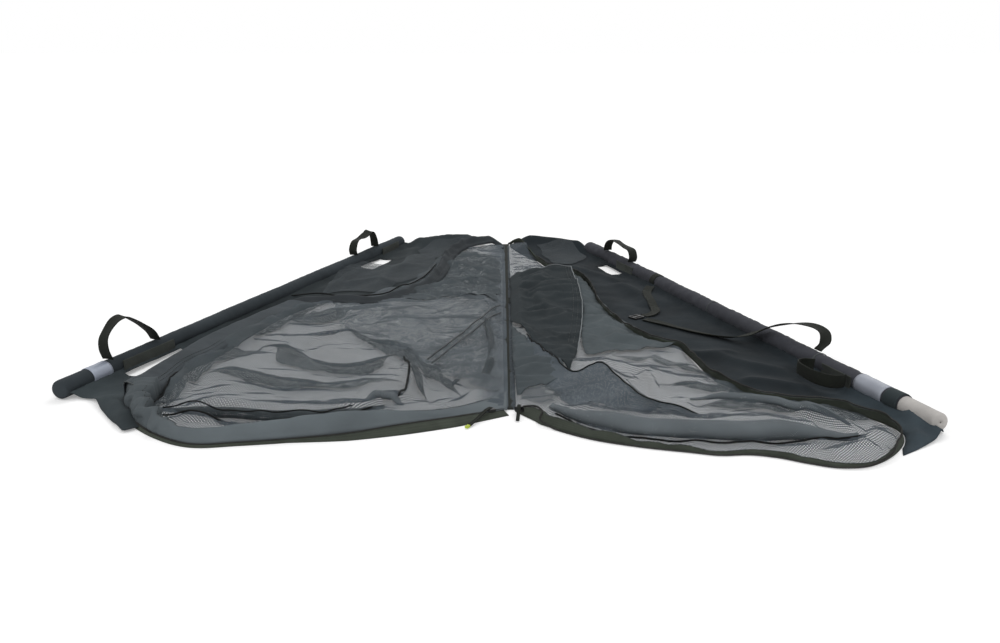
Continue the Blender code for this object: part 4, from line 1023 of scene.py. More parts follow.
LEFT_NET_FOLDS = [
    px_fold([(158, 404), (200, 402), (245, 405), (300, 407), (350, 404), (392, 397)], 0.016, 0.009, 0.026),
    px_fold([(150, 414), (190, 418), (240, 424), (290, 424), (340, 420), (385, 410)], 0.010, 0.010, 0.010),
    px_fold([(170, 398), (180, 380), (196, 364), (225, 352), (262, 344)], 0.011, 0.018, 0.026),
    px_fold([(262, 344), (285, 348), (305, 358), (345, 367), (372, 362), (395, 350)], 0.011, 0.016, 0.024),
    px_fold([(192, 373), (230, 369), (262, 376), (310, 381), (360, 380), (400, 376)], 0.009, 0.012, 0.022),
    px_fold([(205, 356), (250, 330), (300, 309), (345, 297)], 0.011, 0.020, 0.030),
    px_fold([(240, 352), (262, 330), (285, 316)], 0.008, 0.012, 0.022),
    px_fold([(342, 328), (370, 340), (405, 351), (440, 380), (468, 396)], 0.010, 0.014, 0.024),
    px_fold([(405, 356), (409, 372), (407, 388), (398, 400)], 0.010, 0.008, 0.010),
    px_fold([(416, 360), (421, 378), (427, 397)], 0.008, 0.008, 0.010),
    px_fold([(366, 402), (378, 396), (392, 396), (402, 399)], 0.014, 0.008, 0.012),
    px_fold([(180, 388), (240, 386), (300, 390), (360, 391)], 0.005, 0.010, 0.018),
    px_fold([(300, 345), (330, 335), (360, 333)], 0.007, 0.014, 0.024),
    px_fold([(270, 322), (310, 318), (350, 310), (400, 302)], 0.008, 0.016, 0.030),
    px_fold([(300, 330), (330, 328), (352, 318), (372, 306)], 0.006, 0.010, 0.018),
    px_fold([(360, 290), (420, 288), (470, 280), (505, 282)], 0.008, 0.020, 0.040),
    px_fold([(430, 262), (465, 266), (500, 276)], 0.008, 0.022, 0.040),
    px_fold([(470, 350), (478, 335), (482, 318)], 0.009, 0.008, 0.012),
    px_fold([(482, 374), (490, 355), (488, 335)], 0.008, 0.007, 0.010),
    px_fold([(462, 384), (480, 378), (500, 382)], 0.008, 0.012, 0.020),
    px_fold([(440, 388), (455, 378), (470, 360)], 0.006, 0.010, 0.016),
    px_fold([(496, 366), (500, 345), (498, 318)], 0.006, 0.008, 0.010),
    px_fold([(466, 236), (486, 230), (498, 237)], 0.028, 0.040, 0.030, 0.024),
    px_fold([(405, 345), (402, 330), (398, 316)], 0.006, 0.010, 0.012),
    px_fold([(430, 345), (427, 332), (420, 320)], 0.006, 0.010, 0.012),
    px_fold([(452, 352), (462, 338), (470, 322)], 0.007, 0.008, 0.012),
    px_fold([(455, 268), (480, 280), (505, 290)], 0.007, 0.012, 0.024),
    px_fold([(440, 290), (475, 300), (500, 306)], 0.006, 0.012, 0.020),
]


def left_net_ground(x, y):
    height = NET_BASE + raised_folds(x, y, LEFT_NET_FOLDS)
    height += 0.0032 * noise(x, y, 0.050, 81, 2.6, 0.25)
    height += 0.0013 * noise(x, y, 0.020, 82, 2.4, -0.2)
    height += 0.0022 * np.exp(-((x + 0.06) / 0.05) ** 2) * noise(x, y, 0.016, 83, 1.6, 1.2)
    return np.clip(height, 0.0010, fold_limit(x))


def left_net_outline():
    """From the keel's near end, along the front band, the side seam and the far band."""
    front = beside(left_front, 0.0135)[14:-3]
    side = beside(even_line(side_inner, 60), -0.006)[4:]
    under_bands_corner = np.array([(-0.430, -0.048, 0.0)])
    far = beside(left_fold, 0.0110)[4:-4]
    keel = np.array([(-KEEL_EDGE, 0.575, 0.0), (-KEEL_EDGE, KEEL_NEAR + 0.006, 0.0)])
    return np.vstack((front, side, under_bands_corner, far, keel))


def above(line, ground, clearance):
    """The line lifted to lie that far above the cloth."""
    laid = line.copy()
    laid[:, 2] = ground(laid[:, 0], laid[:, 1]) + clearance
    return laid


STRIP_ARCH = (0.5, 1.0, 0.9, 0.6, 0.2)


def laid_strip(side, name, pixels, near_reach, far_reach, lift, material, ground, clearance=0.0010):
    """A pleat laid along pixels: cloth folded on itself, arched a little across its width."""
    line = spaced_line(spots(pixels), 0.010)
    ease = 0.06 + 0.94 * taper(np.linspace(0, 1, len(line)), 0.32)
    run = run_lengths(line)
    rows = []
    for arch, share in zip(STRIP_ARCH, np.linspace(0, 1, len(STRIP_ARCH))):
        out = (near_reach + far_reach) * (0.5 - share) + (near_reach - far_reach) / 2
        wander = 1.0 + 0.38 * noise(run, share * 0.5, 0.045, len(name) * 7)
        row = above(beside(line, out * ease * wander), ground, clearance)
        row[:, 2] += lift * arch * ease
        row[:, 2] = np.minimum(row[:, 2], fold_limit(row[:, 0]) + 0.004)
        rows.append(row)
    lofted_cloth(name, rows, material, side + "_half", "mesh_cloth", (), 0.0, "folded",
                 (side + "_net",))

# %% [markdown]
# Slack net never lies in tidy arcs. So each net is cut a few percent too large, held along its
# seams, and dropped on the ground by Blender's cloth simulation for a moment: the spare cloth
# buckles into small wrinkles between the long folds that we gave it. It starts from the same
# shape each time, so it always ends the same.

# %% Letting a net crumple
SPARE_CLOTH = 0.065
CRUMPLE_FRAMES = 14
CLOTH_SETTINGS = {"vertex_group_mass": "held", "pin_stiffness": 1.0, "quality": 4, "mass": 0.05,
                  "tension_stiffness": 8.0, "compression_stiffness": 8.0, "shear_stiffness": 2.0,
                  "bending_stiffness": 0.02, "shrink_min": -SPARE_CLOTH}


def hold_weights(mesh, outline, ground):
    """1 along the seams, and less inside, where only the long folds hold their shape a little."""
    x = np.array([v.co.x for v in mesh.vertices])
    y = np.array([v.co.y for v in mesh.vertices])
    away, _, _ = distance_to_line(x, y, np.vstack((outline, outline[:1])))
    height = ground(x, y)
    return np.where(away < 0.004, 1.0, 0.10 + 0.30 * np.clip((height - 0.006) / 0.012, 0, 1))


def crumple(mesh, outline, ground):
    """Simulates the cloth for a moment and writes the result into the mesh."""
    scene = bpy.context.scene
    table = mesh_from("table", [(-2, -2, 0), (2, -2, 0), (2, 2, 0), (-2, 2, 0)], [(0, 1, 2, 3)])
    top = new_object("table", table)
    top.modifiers.new("Collision", "COLLISION")
    top.collision.thickness_outer = 0.001
    cloth = new_object("crumpling", mesh)
    group = cloth.vertex_groups.new(name="held")
    for k, weight in enumerate(hold_weights(mesh, outline, ground)):
        group.add([k], float(weight), "REPLACE")
    soft = cloth.modifiers.new("Cloth", "CLOTH")
    for key, value in CLOTH_SETTINGS.items():
        setattr(soft.settings, key, value)
    soft.settings.effector_weights.gravity = 0.15
    soft.collision_settings.distance_min = 0.001
    soft.collision_settings.use_self_collision = False
    soft.point_cache.frame_start = 1
    soft.point_cache.frame_end = CRUMPLE_FRAMES
    for number in range(1, CRUMPLE_FRAMES + 1):
        scene.frame_set(number)
    moved = cloth.evaluated_get(bpy.context.evaluated_depsgraph_get()).data
    co = np.empty(len(mesh.vertices) * 3, np.float32)
    moved.vertices.foreach_get("co", co)
    co = co.reshape(-1, 3)
    co[:, 2] = np.clip(co[:, 2], 0.0008, fold_limit(co[:, 0]))
    print("crumpled: heights up to %.1f mm" % (1000 * co[:, 2].max()))
    cloth.modifiers.clear()
    mesh.vertices.foreach_set("co", co.ravel())
    mesh.update()
    bpy.data.objects.remove(cloth)
    bpy.data.objects.remove(top)
    scene.frame_set(1)


def laid_heights(mesh, ground):
    """Gives a function that looks up the height of the crumpled cloth."""
    points = [v.co.copy() for v in mesh.vertices]
    tree = BVHTree.FromPolygons(points, [tuple(f.vertices) for f in mesh.polygons])
    down = Vector((0.0, 0.0, -1.0))

    def look(x, y):
        height = ground(x, y)
        for k, (px, py) in enumerate(zip(x, y)):
            hit = tree.ray_cast(Vector((px, py, 0.2)), down)[0]
            if hit is not None:
                height[k] = hit.z
        return height

    return look


def slack_net(side, outline, ground, material):
    """The net of one half, crumpled. Returns the function for its height."""
    name = side + "_net"
    mesh = cut_mesh(name, outline, ground, NET_GAP)
    crumple(mesh, outline, ground)
    piece = keep_piece(name, mesh, material, side + "_half", (side + "_mesh_panel",))
    declare_cloth(piece)
    return laid_heights(mesh, ground)


left_net_height = slack_net("left", left_net_outline(), left_net_ground, net_grey)

LEFT_PLEATS = [
    ("left_net_pleat_corner", [(166, 404), (178, 384), (192, 366), (215, 357), (262, 346)],
     0.022, 0.020, 0.003),
    ("left_net_pleat_arch", [(262, 345), (282, 348), (300, 360), (345, 368), (370, 365), (395, 352)],
     0.022, 0.018, 0.003),
    ("left_net_pleat_middle", [(196, 374), (230, 371), (262, 378), (310, 383), (360, 382), (402, 378)],
     0.018, 0.018, 0.003),
    ("left_net_pleat_side", [(206, 357), (240, 338), (285, 316), (330, 301)], 0.026, 0.022, 0.003),
    ("left_net_pleat_patch", [(284, 318), (315, 316), (350, 310)], 0.040, 0.040, 0.002),
    ("left_net_pleat_centre", [(346, 331), (375, 343), (408, 356), (440, 381), (466, 396)],
     0.012, 0.014, 0.003),
]
# Narrow strips of dark net laid along creases: painted shadow of the creases.
LEFT_CREASE_SHADOWS = [
    ("left_net_tuck_gather", [(411, 364), (416, 376), (420, 388), (426, 398)], 0.006, 0.006, 0.006),
    ("left_net_tuck_keel", [(486, 318), (489, 332), (491, 346), (488, 360)], 0.007, 0.006, 0.007),
    ("left_net_tuck_front", [(494, 358), (489, 368), (481, 379)], 0.005, 0.005, 0.006),
    ("left_net_tuck_band", [(450, 390), (456, 386), (460, 381)], 0.004, 0.004, 0.005),
]
for pleat in LEFT_PLEATS:
    laid_strip("left", *pleat, net_double, left_net_height)
# Painted shadow: the dark strips are laid along the creases.
for crease_shadow in LEFT_CREASE_SHADOWS:
    laid_strip("left", *crease_shadow, net_dense_and_shade, left_net_height, 0.0052)

# %% [markdown]
# In several places the net lies double: the spare cloth has slid under itself. There it looks
# darker and denser, because the ground shows through two layers at once. These linings are cut
# to the shapes that the doubled areas have, and lie just over the first layer.

# %% Doubled net of the left half
def lining(side, name, pixels, ground, material, seed, clearance=0.0022, under="net"):
    """A second layer of net, cut to the outline that shows at these pixels."""
    points = spots(pixels, 0.008)
    outline = even_line(smooth_line(np.vstack((points, points[:1])), 6), 90)[:-1]
    x, y = outline[:, 0].copy(), outline[:, 1].copy()
    outline[:, 0] += 0.004 * noise(x, y, 0.03, seed)
    outline[:, 1] += 0.004 * noise(x, y, 0.03, seed + 1)
    sign = np.sign(x.mean())
    beside_keel = SEAM_REACH + 0.006 * (1.0 + noise(x, y, 0.05, seed + 2))
    outline[:, 0] = sign * np.maximum(sign * outline[:, 0], beside_keel)

    def over(x, y):
        lift = clearance + 0.0012 * noise(x, y, 0.03, seed, 2.0, 0.6)
        return np.minimum(ground(x, y) + lift, fold_limit(x) + 0.0010)

    cut_cloth(name, outline, over, 0.0075, material, side + "_half", "mesh_cloth", thickness=0.0,
              held="folded", rests_on=("%s_%s" % (side, under),))


lining("left", "left_net_lining",
       [(335, 302), (400, 286), (430, 272), (462, 263), (503, 262), (506, 330), (504, 368),
        (490, 383), (468, 384), (440, 374), (405, 350), (345, 331)],
       left_net_height, net_lining, 301)
lining("left", "left_net_lining_corner",
       [(143, 409), (152, 397), (163, 386), (174, 376), (184, 368), (182, 384), (168, 398),
        (156, 408)],
       left_net_height, net_double, 307)
lining("left", "left_net_lining_far",
       [(398, 291), (428, 268), (446, 252), (470, 252), (500, 262), (504, 300), (450, 297),
        (410, 301)],
       left_net_height, net_double, 303, 0.0040)
lining("left", "left_net_lining_centre",
       [(380, 345), (430, 345), (470, 325), (503, 345), (504, 385), (470, 384), (440, 370),
        (412, 356)],
       left_net_height, net_lining, 305, 0.0036)

# %% [markdown]
# The right half lies the other way: its net is gathered into a thick roll along the front, and
# the zip's tape stands on edge round it. The far corner by the keel is a panel of dark cloth.

# %% The net of the right half
RIGHT_NET_FOLDS = [
    px_fold([(545, 398), (600, 411), (650, 415), (700, 419), (740, 420), (800, 424), (852, 431)],
            0.017, 0.015, 0.026),
    px_fold([(590, 356), (640, 368), (700, 379), (745, 387), (780, 392)], 0.009, 0.012, 0.022),
    px_fold([(598, 360), (620, 378), (640, 396), (660, 410)], 0.008, 0.010, 0.014),
    px_fold([(612, 352), (650, 353), (690, 358)], 0.007, 0.014, 0.022),
    px_fold([(646, 368), (655, 382), (660, 398)], 0.010, 0.012, 0.012),
    px_fold([(660, 384), (700, 385), (740, 393), (780, 399)], 0.008, 0.010, 0.018),
    px_fold([(690, 398), (740, 402), (790, 405), (835, 413)], 0.009, 0.010, 0.018),
    px_fold([(790, 408), (830, 417), (856, 430)], 0.011, 0.012, 0.014),
    px_fold([(730, 410), (755, 414), (780, 421)], 0.008, 0.007, 0.012),
    px_fold([(552, 388), (600, 381), (645, 377)], 0.007, 0.012, 0.022),
    px_fold([(600, 372), (620, 392), (632, 405)], 0.006, 0.008, 0.010),
    px_fold([(590, 322), (625, 326), (665, 335)], 0.004, 0.014, 0.020),
    px_fold([(595, 338), (640, 342), (690, 352)], 0.004, 0.014, 0.020),
    px_fold([(855, 444), (875, 434), (892, 430)], 0.009, 0.010, 0.012),
    px_fold([(820, 452), (850, 446), (880, 446)], 0.007, 0.010, 0.012),
    px_fold([(770, 446), (800, 444), (840, 440)], 0.005, 0.008, 0.010),
    px_fold([(540, 250), (560, 258), (585, 268)], 0.006, 0.020, 0.030),
    (plan_line([(0.008, 0.578), (0.030, 0.560), (0.046, 0.512), (0.062, 0.450)], 10),
     0.024, 0.045, 0.045),
]


def right_net_ground(x, y):
    height = NET_BASE + raised_folds(x, y, RIGHT_NET_FOLDS)
    height += 0.0028 * noise(x, y, 0.050, 91, 2.6, -0.25)
    height += 0.0012 * noise(x, y, 0.020, 92, 2.4, 0.1)
    return np.clip(height, 0.0010, fold_limit(x))


def right_net_outline():
    rim = beside(right_rim, -0.0014)[6:]
    keel = np.array([(KEEL_EDGE, KEEL_NEAR + 0.006, 0.0)])
    return np.vstack((keel, rim, plan_line(RIGHT_MESH_FAR, 5)))


right_net_height = slack_net("right", right_net_outline(), right_net_ground, net_light)

RIGHT_PLEATS = [
    ("right_net_pleat_peak", [(600, 352), (640, 357), (690, 367), (722, 379)], 0.010, 0.012, 0.003),
    ("right_net_pleat_centre", [(652, 382), (700, 386), (745, 393), (785, 401)],
     0.008, 0.010, 0.003),
    ("right_net_pleat_corner", [(700, 402), (760, 405), (810, 410), (850, 424)],
     0.012, 0.012, 0.004),
]
for pleat in RIGHT_PLEATS:
    laid_strip("right", *pleat, net_double, right_net_height)


lining("right", "right_net_lining_keel",
       [(516, 372), (536, 376), (556, 380), (562, 392), (548, 403), (530, 402), (516, 396)],
       right_net_height, net_pleat, 313)
lining("right", "right_net_lining_back",
       [(700, 377), (745, 386), (800, 396), (850, 406), (870, 418), (840, 416), (790, 402),
        (740, 396)],
       right_net_height, net_double, 317)

# %% [markdown]
# The dark panel by the keel is coated cloth with a rolled near edge, and a paler gusset lies
# between that edge and the keel. Both rest on the net, so they take the net's height.

# %% The base panel and the gusset
PANEL_NEAR = [(0.006, -0.185), (0.060, -0.375), (0.098, -0.480)]
PANEL_FAR = [(0.006, 0.172), (0.040, 0.180), (0.110, 0.186), (0.143, 0.160)]
PANEL_RIGHT = [(0.098, -0.480), (0.120, -0.360), (0.147, -0.100), (0.143, 0.160)]
PANEL_RISE = 0.026
PANEL_LINES = 34
PANEL_STEPS = 90


def between(near, far, left, right, across, along):
    """A grid stretched over four edges."""
    near, far = even_line(near, across), even_line(far, across)
    left, right = even_line(left, along), even_line(right, along)
    u = np.linspace(0, 1, across)[None, :, None]
    v = np.linspace(0, 1, along)[:, None, None]
    grid = near[None] * (1 - v) + far[None] * v + left[:, None] * (1 - u) + right[:, None] * u
    corners = (near[0] * (1 - u) * (1 - v) + near[-1] * u * (1 - v) + far[0] * (1 - u) * v
               + far[-1] * u * v)
    return grid - corners


def panel_grid():
    """The base panel: it rests on the net, bulges beside the keel and rises to its far edge."""
    near, far, right = plan_line(PANEL_NEAR), plan_line(PANEL_FAR), plan_line(PANEL_RIGHT)
    left = np.linspace(near[0], far[0], 60)
    left[:, 0] += 0.0035 * np.abs(noise(left[:, 1], 0.0, 0.06, 104)) * taper(
        np.linspace(0, 1, 60), 0.1)
    grid = between(near, far, left, right, PANEL_LINES, PANEL_STEPS)
    x, y = grid[..., 0].ravel(), grid[..., 1].ravel()
    share = np.repeat(np.linspace(0, 1, PANEL_STEPS), PANEL_LINES)
    rise = np.minimum(PANEL_RISE * share ** 2, 0.24 * np.maximum(x - KEEL_CLEARANCE, 0.0))
    hump = 0.0105 * np.exp(-((x - 0.020) / 0.013) ** 2)
    ripple = 0.0016 * noise(x, y, 0.05, 101, 2.5, 1.4) * np.clip(share * 4, 0, 1)
    below = np.maximum(right_net_ground(x, y) + 0.0035, right_net_height(x, y))
    height = below + 0.0030 + rise + hump + ripple
    height = np.minimum(height, 0.0030 + 0.68 * np.maximum(x, 0.0))
    grid[..., 2] = height.reshape(grid.shape[:2])
    return grid


base_grid = panel_grid()
lofted_cloth("right_base_cloth", base_grid, panel_dark, "right_half", "base_cloth",
             ("right_base_panel",), 0.0009, rests_on=("right_net",))


GUSSET_OUTLINE = [(0.008, -0.215), (0.030, -0.300), (0.060, -0.385), (0.090, -0.470),
                  (0.078, -0.520), (0.040, -0.560), (0.012, -0.600)]
SIDE_PANEL_PIXELS = [(574, 272), (592, 288), (606, 305), (628, 322), (650, 336), (676, 348),
                     (640, 349), (606, 350), (586, 352), (581, 330), (582, 305), (574, 272)]


def gusset_ground(x, y):
    return np.minimum(right_net_height(x, y) + 0.0035 + 0.0012 * noise(x, y, 0.03, 103),
                      fold_limit(x) + 0.006)


def side_panel_ground(x, y):
    return right_net_height(x, y) + 0.0045 + 0.0014 * noise(x, y, 0.035, 105, 2.0, 0.4)


gusset_line = np.vstack((plan_line(GUSSET_OUTLINE), [[0.007, -0.40, 0.0]]))
cut_cloth("right_gusset", gusset_line, gusset_ground, 0.006, panel_light, "right_half",
          "base_cloth", thickness=0.0007, rests_on=("right_net",))
side_panel_line = even_line(smooth_line(spots(SIDE_PANEL_PIXELS), 6), 100)[:-1]
cut_cloth("right_side_panel", side_panel_line, side_panel_ground, 0.006, panel_side, "right_half",
          "base_cloth", thickness=0.0006, rests_on=("right_net",))

# %% [markdown]
# A loose flap of net with a black bound edge crosses the right half. The binding runs from the
# keel to a peak, and down to the roll, and its dark line is one of the sling's clearest marks.

# %% The inner flap and its binding
FLAP_EDGE = [
    (0.034, -0.300, 0.004), (0.062, -0.392, 0.012), (0.099, -0.506, 0.015),
    (0.129, -0.498, 0.022), (0.147, -0.490, 0.024), (0.170, -0.560, 0.020),
    (0.190, -0.625, 0.018), (0.206, -0.662, 0.022), (0.236, -0.675, 0.020), (0.262, -0.685, 0.010),
]
FLAP_ROOT = [
    (0.034, -0.400, 0.0), (0.050, -0.520, 0.0), (0.078, -0.610, 0.0), (0.110, -0.640, 0.0),
    (0.150, -0.660, 0.0), (0.200, -0.682, 0.0), (0.238, -0.692, 0.0), (0.262, -0.687, 0.0),
]
FLAP_CLEARANCE = 0.0040
flap_edge = even_line(smooth_line(FLAP_EDGE, 8), 110)
flap_root = even_line(smooth_line(FLAP_ROOT, 8), 110)
flap_rows = []
for share in np.linspace(0, 1, 12):
    row = flap_root + (flap_edge - flap_root) * share
    ground = right_net_height(row[:, 0], row[:, 1]) + FLAP_CLEARANCE * share + 0.0012
    row[:, 2] = np.maximum(row[:, 2], ground)
    row[:, 2] += 0.0012 * noise(row[:, 0], row[:, 1], 0.022, 111) * share
    flap_rows.append(row)
lofted_cloth("right_flap_net", flap_rows, net_grey, "right_half", "mesh_cloth",
             ("right_inner_flap",), 0.0, "folded", ("right_net",))
round_piece("right_flap_cord", flap_rows[-1] + UP * 0.0008, 0.0012, black_binding, "right_half",
            ("right_flap_binding",))

# %% [markdown]
# The zip comes apart into two halves. Each has a woven olive tape and a plastic coil, whose
# turns are the teeth. A coil has hundreds of equal turns, so Geometry Nodes place them: the
# line of the zip is divided at the pitch, and one small ring is put at every point.

# %% Zip tapes
LEFT_TAPE_STEPS = 400
RIGHT_TAPE_STEPS = 620
left_tape_spread = np.interp(np.linspace(0, 1, LEFT_TAPE_STEPS), np.linspace(0, 1, 17),
                             [0.016, 0.016, 0.016, 0.014, 0.005] + [0.0045] * 12)
left_coil_even = even_line(left_coil, LEFT_TAPE_STEPS)
left_tape_top = beside(left_coil_even, -0.0010, -0.0006)
left_tape_low = at_height(beside(left_coil_even, -left_tape_spread), 0.0006)
tape_along = run_lengths(left_coil_even)
left_tape_rows = []
for share in (0.0, 0.35, 0.7, 1.0):
    row = left_tape_low + (left_tape_top - left_tape_low) * share
    pucker = 0.0008 * noise(tape_along, share * 0.03, 0.02, 121)
    row[:, 2] = np.maximum(row[:, 2] + pucker * (1 - abs(2 * share - 1)), 0.0006)
    left_tape_rows.append(row)
lofted_cloth("left_tape_cloth", left_tape_rows, olive_tape, "left_half", "olive_tape",
             ("left_zip_tape",), 0.0007, "stretched", ("left_front_cloth",))


right_rim_even = even_line(right_rim, RIGHT_TAPE_STEPS)
right_share = np.linspace(0, 1, RIGHT_TAPE_STEPS)
right_run = run_lengths(right_rim_even)
tape_wave = noise(right_run, 0.0, 0.034, 135) + 0.5 * noise(right_run, 0.0, 0.013, 136)
front_low = 1.0 - np.clip((right_share - 0.30) / 0.10, 0, 1)
front_drop = np.interp(right_share, [0.0, 0.03, 0.10, 0.14, 0.27, 0.31, 0.36, 1.0],
                       [0.55, 0.78, 0.72, 0.42, 0.36, 0.62, 0.95, 0.95])
right_top_height = RIGHT_TAPE_HEIGHT * front_drop * (1.0 + (0.14 + 0.16 * front_low) * tape_wave)
right_top_height = np.minimum(right_top_height, fold_limit(right_rim_even[:, 0]))
front_weight = 1.0 - np.clip((right_share - 0.30) / 0.05, 0, 1)
right_tape_lean = ((RIGHT_TAPE_LEAN + 0.0045 * front_weight) * right_top_height / RIGHT_TAPE_HEIGHT
                   + 0.0120 * np.clip(1.0 - right_share / 0.07, 0, 1) ** 1.3)
right_tape_rows = []
for share in (0.0, 0.2, 0.45, 0.7, 0.88, 1.0):
    row = beside(right_rim_even, -right_tape_lean * share)
    row[:, 2] = right_rim_even[:, 2] + (right_top_height - 0.0005 - right_rim_even[:, 2]) * share
    pucker = 0.0011 * (noise(right_run, share * 0.02, 0.012, 131) + tape_wave)
    row += to_right(right_rim_even) * (pucker * math.sin(share * 2.2))[:, None]
    right_tape_rows.append(row)
lofted_cloth("right_tape_cloth", right_tape_rows, olive_tape, "right_half", "olive_tape",
             ("right_zip_tape",), 0.0008, "stretched", ("right_skirt_cloth",))

# %% Zip teeth by Geometry Nodes
def along_line_tree(name, inputs, make_unit):
    """A tree that puts a unit at even steps along a line and turns it that way. It takes the
    line, named numbers of which the first is the step, and a material."""
    tree = bpy.data.node_groups.new(name, "GeometryNodeTree")
    socket = tree.interface.new_socket
    socket("Geometry", in_out="INPUT", socket_type="NodeSocketGeometry")
    for label, value in inputs.items():
        socket(label, in_out="INPUT", socket_type="NodeSocketFloat").default_value = value
    socket("Material", in_out="INPUT", socket_type="NodeSocketMaterial")
    socket("Geometry", in_out="OUTPUT", socket_type="NodeSocketGeometry")
    given = tree.nodes.new("NodeGroupInput").outputs

    def node(kind, links=(), **settings):
        return add_node(tree, kind, links, **settings).outputs[0]

    line = node("GeometryNodeMeshToCurve", {"Mesh": given["Geometry"]})
    points = node("GeometryNodeResampleCurve", {"Curve": line, "Length": given[next(iter(inputs))]},
                  mode="LENGTH")
    aim = node("FunctionNodeAlignRotationToVector", {"Vector": node("GeometryNodeInputTangent")},
               axis="Z")
    copies = node("GeometryNodeInstanceOnPoints", {"Points": points, "Rotation": aim,
                                                   "Instance": make_unit(node, given)})
    single = node("GeometryNodeRealizeInstances", {"Geometry": copies})
    painted = node("GeometryNodeSetMaterial", {"Geometry": single, "Material": given["Material"]})
    add_node(tree, "NodeGroupOutput", {"Geometry": painted})
    return tree


def coil_turn(node, given):
    """One turn of a coil: a ring of thin wire."""
    ring = node("GeometryNodeCurvePrimitiveCircle", {"Resolution": 8, "Radius": given["Turn Radius"]})
    wire = node("GeometryNodeCurvePrimitiveCircle", {"Resolution": 4, "Radius": given["Wire"]})
    return node("GeometryNodeCurveToMesh", {"Curve": ring, "Profile Curve": wire})


def short_thread(node, given):
    """One stitch. The line's steps are longer than it is, which leaves a small space."""
    return node("GeometryNodeMeshCylinder", {"Vertices": 5, "Radius": given["Thread"],
                                             "Depth": given["Length"]})


def grown_mesh(name, tree, lines, values):
    """Runs a tree on lines and returns the result as a plain mesh."""
    edges = []
    start = 0
    for line in lines:
        edges += [(start + k, start + k + 1) for k in range(len(line) - 1)]
        start += len(line)
    mesh = bpy.data.meshes.new(name)
    mesh.from_pydata([tuple(p) for p in np.vstack(lines)], edges, [])
    carrier = new_object(name + "_line", mesh)
    grow = carrier.modifiers.new("Grow", "NODES")
    grow.node_group = tree
    for item in tree.interface.items_tree:
        if item.item_type == "SOCKET" and item.in_out == "INPUT" and item.name in values:
            grow[item.identifier] = values[item.name]
    graph = bpy.context.evaluated_depsgraph_get()
    made = bpy.data.meshes.new_from_object(carrier.evaluated_get(graph), depsgraph=graph)
    made.name = name
    bpy.data.objects.remove(carrier)
    bpy.data.meshes.remove(mesh)
    return made


coil_turns = along_line_tree("coil_turns", {"Pitch": 0.0016, "Turn Radius": 0.0012,
                                            "Wire": 0.00038}, coil_turn)
stitches = along_line_tree("stitches", {"Spacing": 0.0050, "Length": 0.0034,
                                        "Thread": 0.00045}, short_thread)


def join_meshes(name, meshes):
    points = []
    faces = []
    for mesh in meshes:
        start = len(points)
        points += [tuple(v.co) for v in mesh.vertices]
        faces += [tuple(start + k for k in f.vertices) for f in mesh.polygons]
    return mesh_from(name, points, faces)


def zip_coil(side, line):
    """Coil turns round a thin core cord."""
    name = side + "_zip_turns"
    turns = grown_mesh(name, coil_turns, [even_line(line, 500)],
                       {"Pitch": 0.0018, "Turn Radius": 0.00115, "Wire": 0.0004,
                        "Material": coil_grey})
    core = tube_mesh(name + "_core", even_line(line, 240), 0.00085, 6)
    joined = join_meshes(name, [turns, core])
    keep_piece(name, joined, coil_grey, side + "_half", (side + "_zip_coil",))
    print("%s: %d triangles" % (name, sum(len(f.vertices) - 2 for f in joined.polygons)))


zip_coil("left", left_coil_even)
right_coil_low = beside(right_rim_even, 0.0022)
right_coil_low[:, 2] = np.maximum(0.0018, right_rim_even[:, 2])
right_coil_high = beside(right_rim_even, -right_tape_lean)
right_coil_high[:, 2] = right_top_height + 0.0014
climb = np.clip((right_share - 0.235) / 0.055, 0, 1)
start_high = 1.0 - np.clip((right_run - 0.035) / 0.05, 0, 1)
climb = np.maximum(climb * climb * (3 - 2 * climb), start_high)
move_in = np.maximum(np.clip((right_share - 0.285) / 0.02, 0, 1),
                     np.clip(start_high * 3 - 1.5, 0, 1))
to_high = np.stack((move_in, move_in, climb), 1)
zip_coil("right", right_coil_low + (right_coil_high - right_coil_low) * to_high)

# %% [markdown]
# Webbing, bands and bindings finish the edges. Flat webbing is lofted from its two edges, with
# a row between so that it can bow a little. A stitch is a short thread: Geometry Nodes lay
# hundreds of them along a seam, and we keep one mesh for each half.

# %% Bands round the sleeves
BAND_SIDES = 30
BAND_STEPS = 14


def ring_band(name, bar, start, length, lift, material, nodes, seed):
    """A strip sewn round a sleeve."""
    along = np.linspace(start, start + length, BAND_STEPS)
    ends = np.clip(np.minimum(along - start, start + length - along) / 0.002, 0, 1)

    def radius_at(turn):
        slack = SLEEVE_RADIUS + 0.0003 + lift * (0.5 + 0.5 * ends)
        slack = slack + 0.0003 * noise(along, turn * 0.012, 0.012, seed)
        return slack * (0.965 if math.sin(turn) < -0.8 else 1.0)

    mesh = loft_mesh(name, rings_round(bar, along, BAND_SIDES, radius_at), True)
    give_thickness(keep_piece(name, mesh, material, bar.body, nodes), 0.0007, -1.0)


ring_band("left_reflective_strip", left_bar, 0.058, 0.042, 0.0006, reflective_left,
          ("left_reflective_band",), 141)
ring_band("right_reflective_strip", right_bar, 0.036, 0.064, 0.0006, reflective_right,
          ("right_reflective_band",), 142)
ring_band("right_cuff_cloth", right_bar, 0.002, 0.030, 0.0008, cuff_slate,
          ("right_sleeve_cuff",), 143)
ring_band("right_strap_loop", right_bar, 0.792, 0.022, 0.0010, black_webbing,
          ("right_strap_wrap",), 144)
for number, start in enumerate((0.205, 0.555)):
    ring_band("right_sleeve_seam_%d" % (number + 1), right_bar, start, 0.0030, 0.0014, thread_dark,
              (), 145)

# %% Webbing: hand holes, handles and straps
WEBBING_THICKNESS = 0.0014


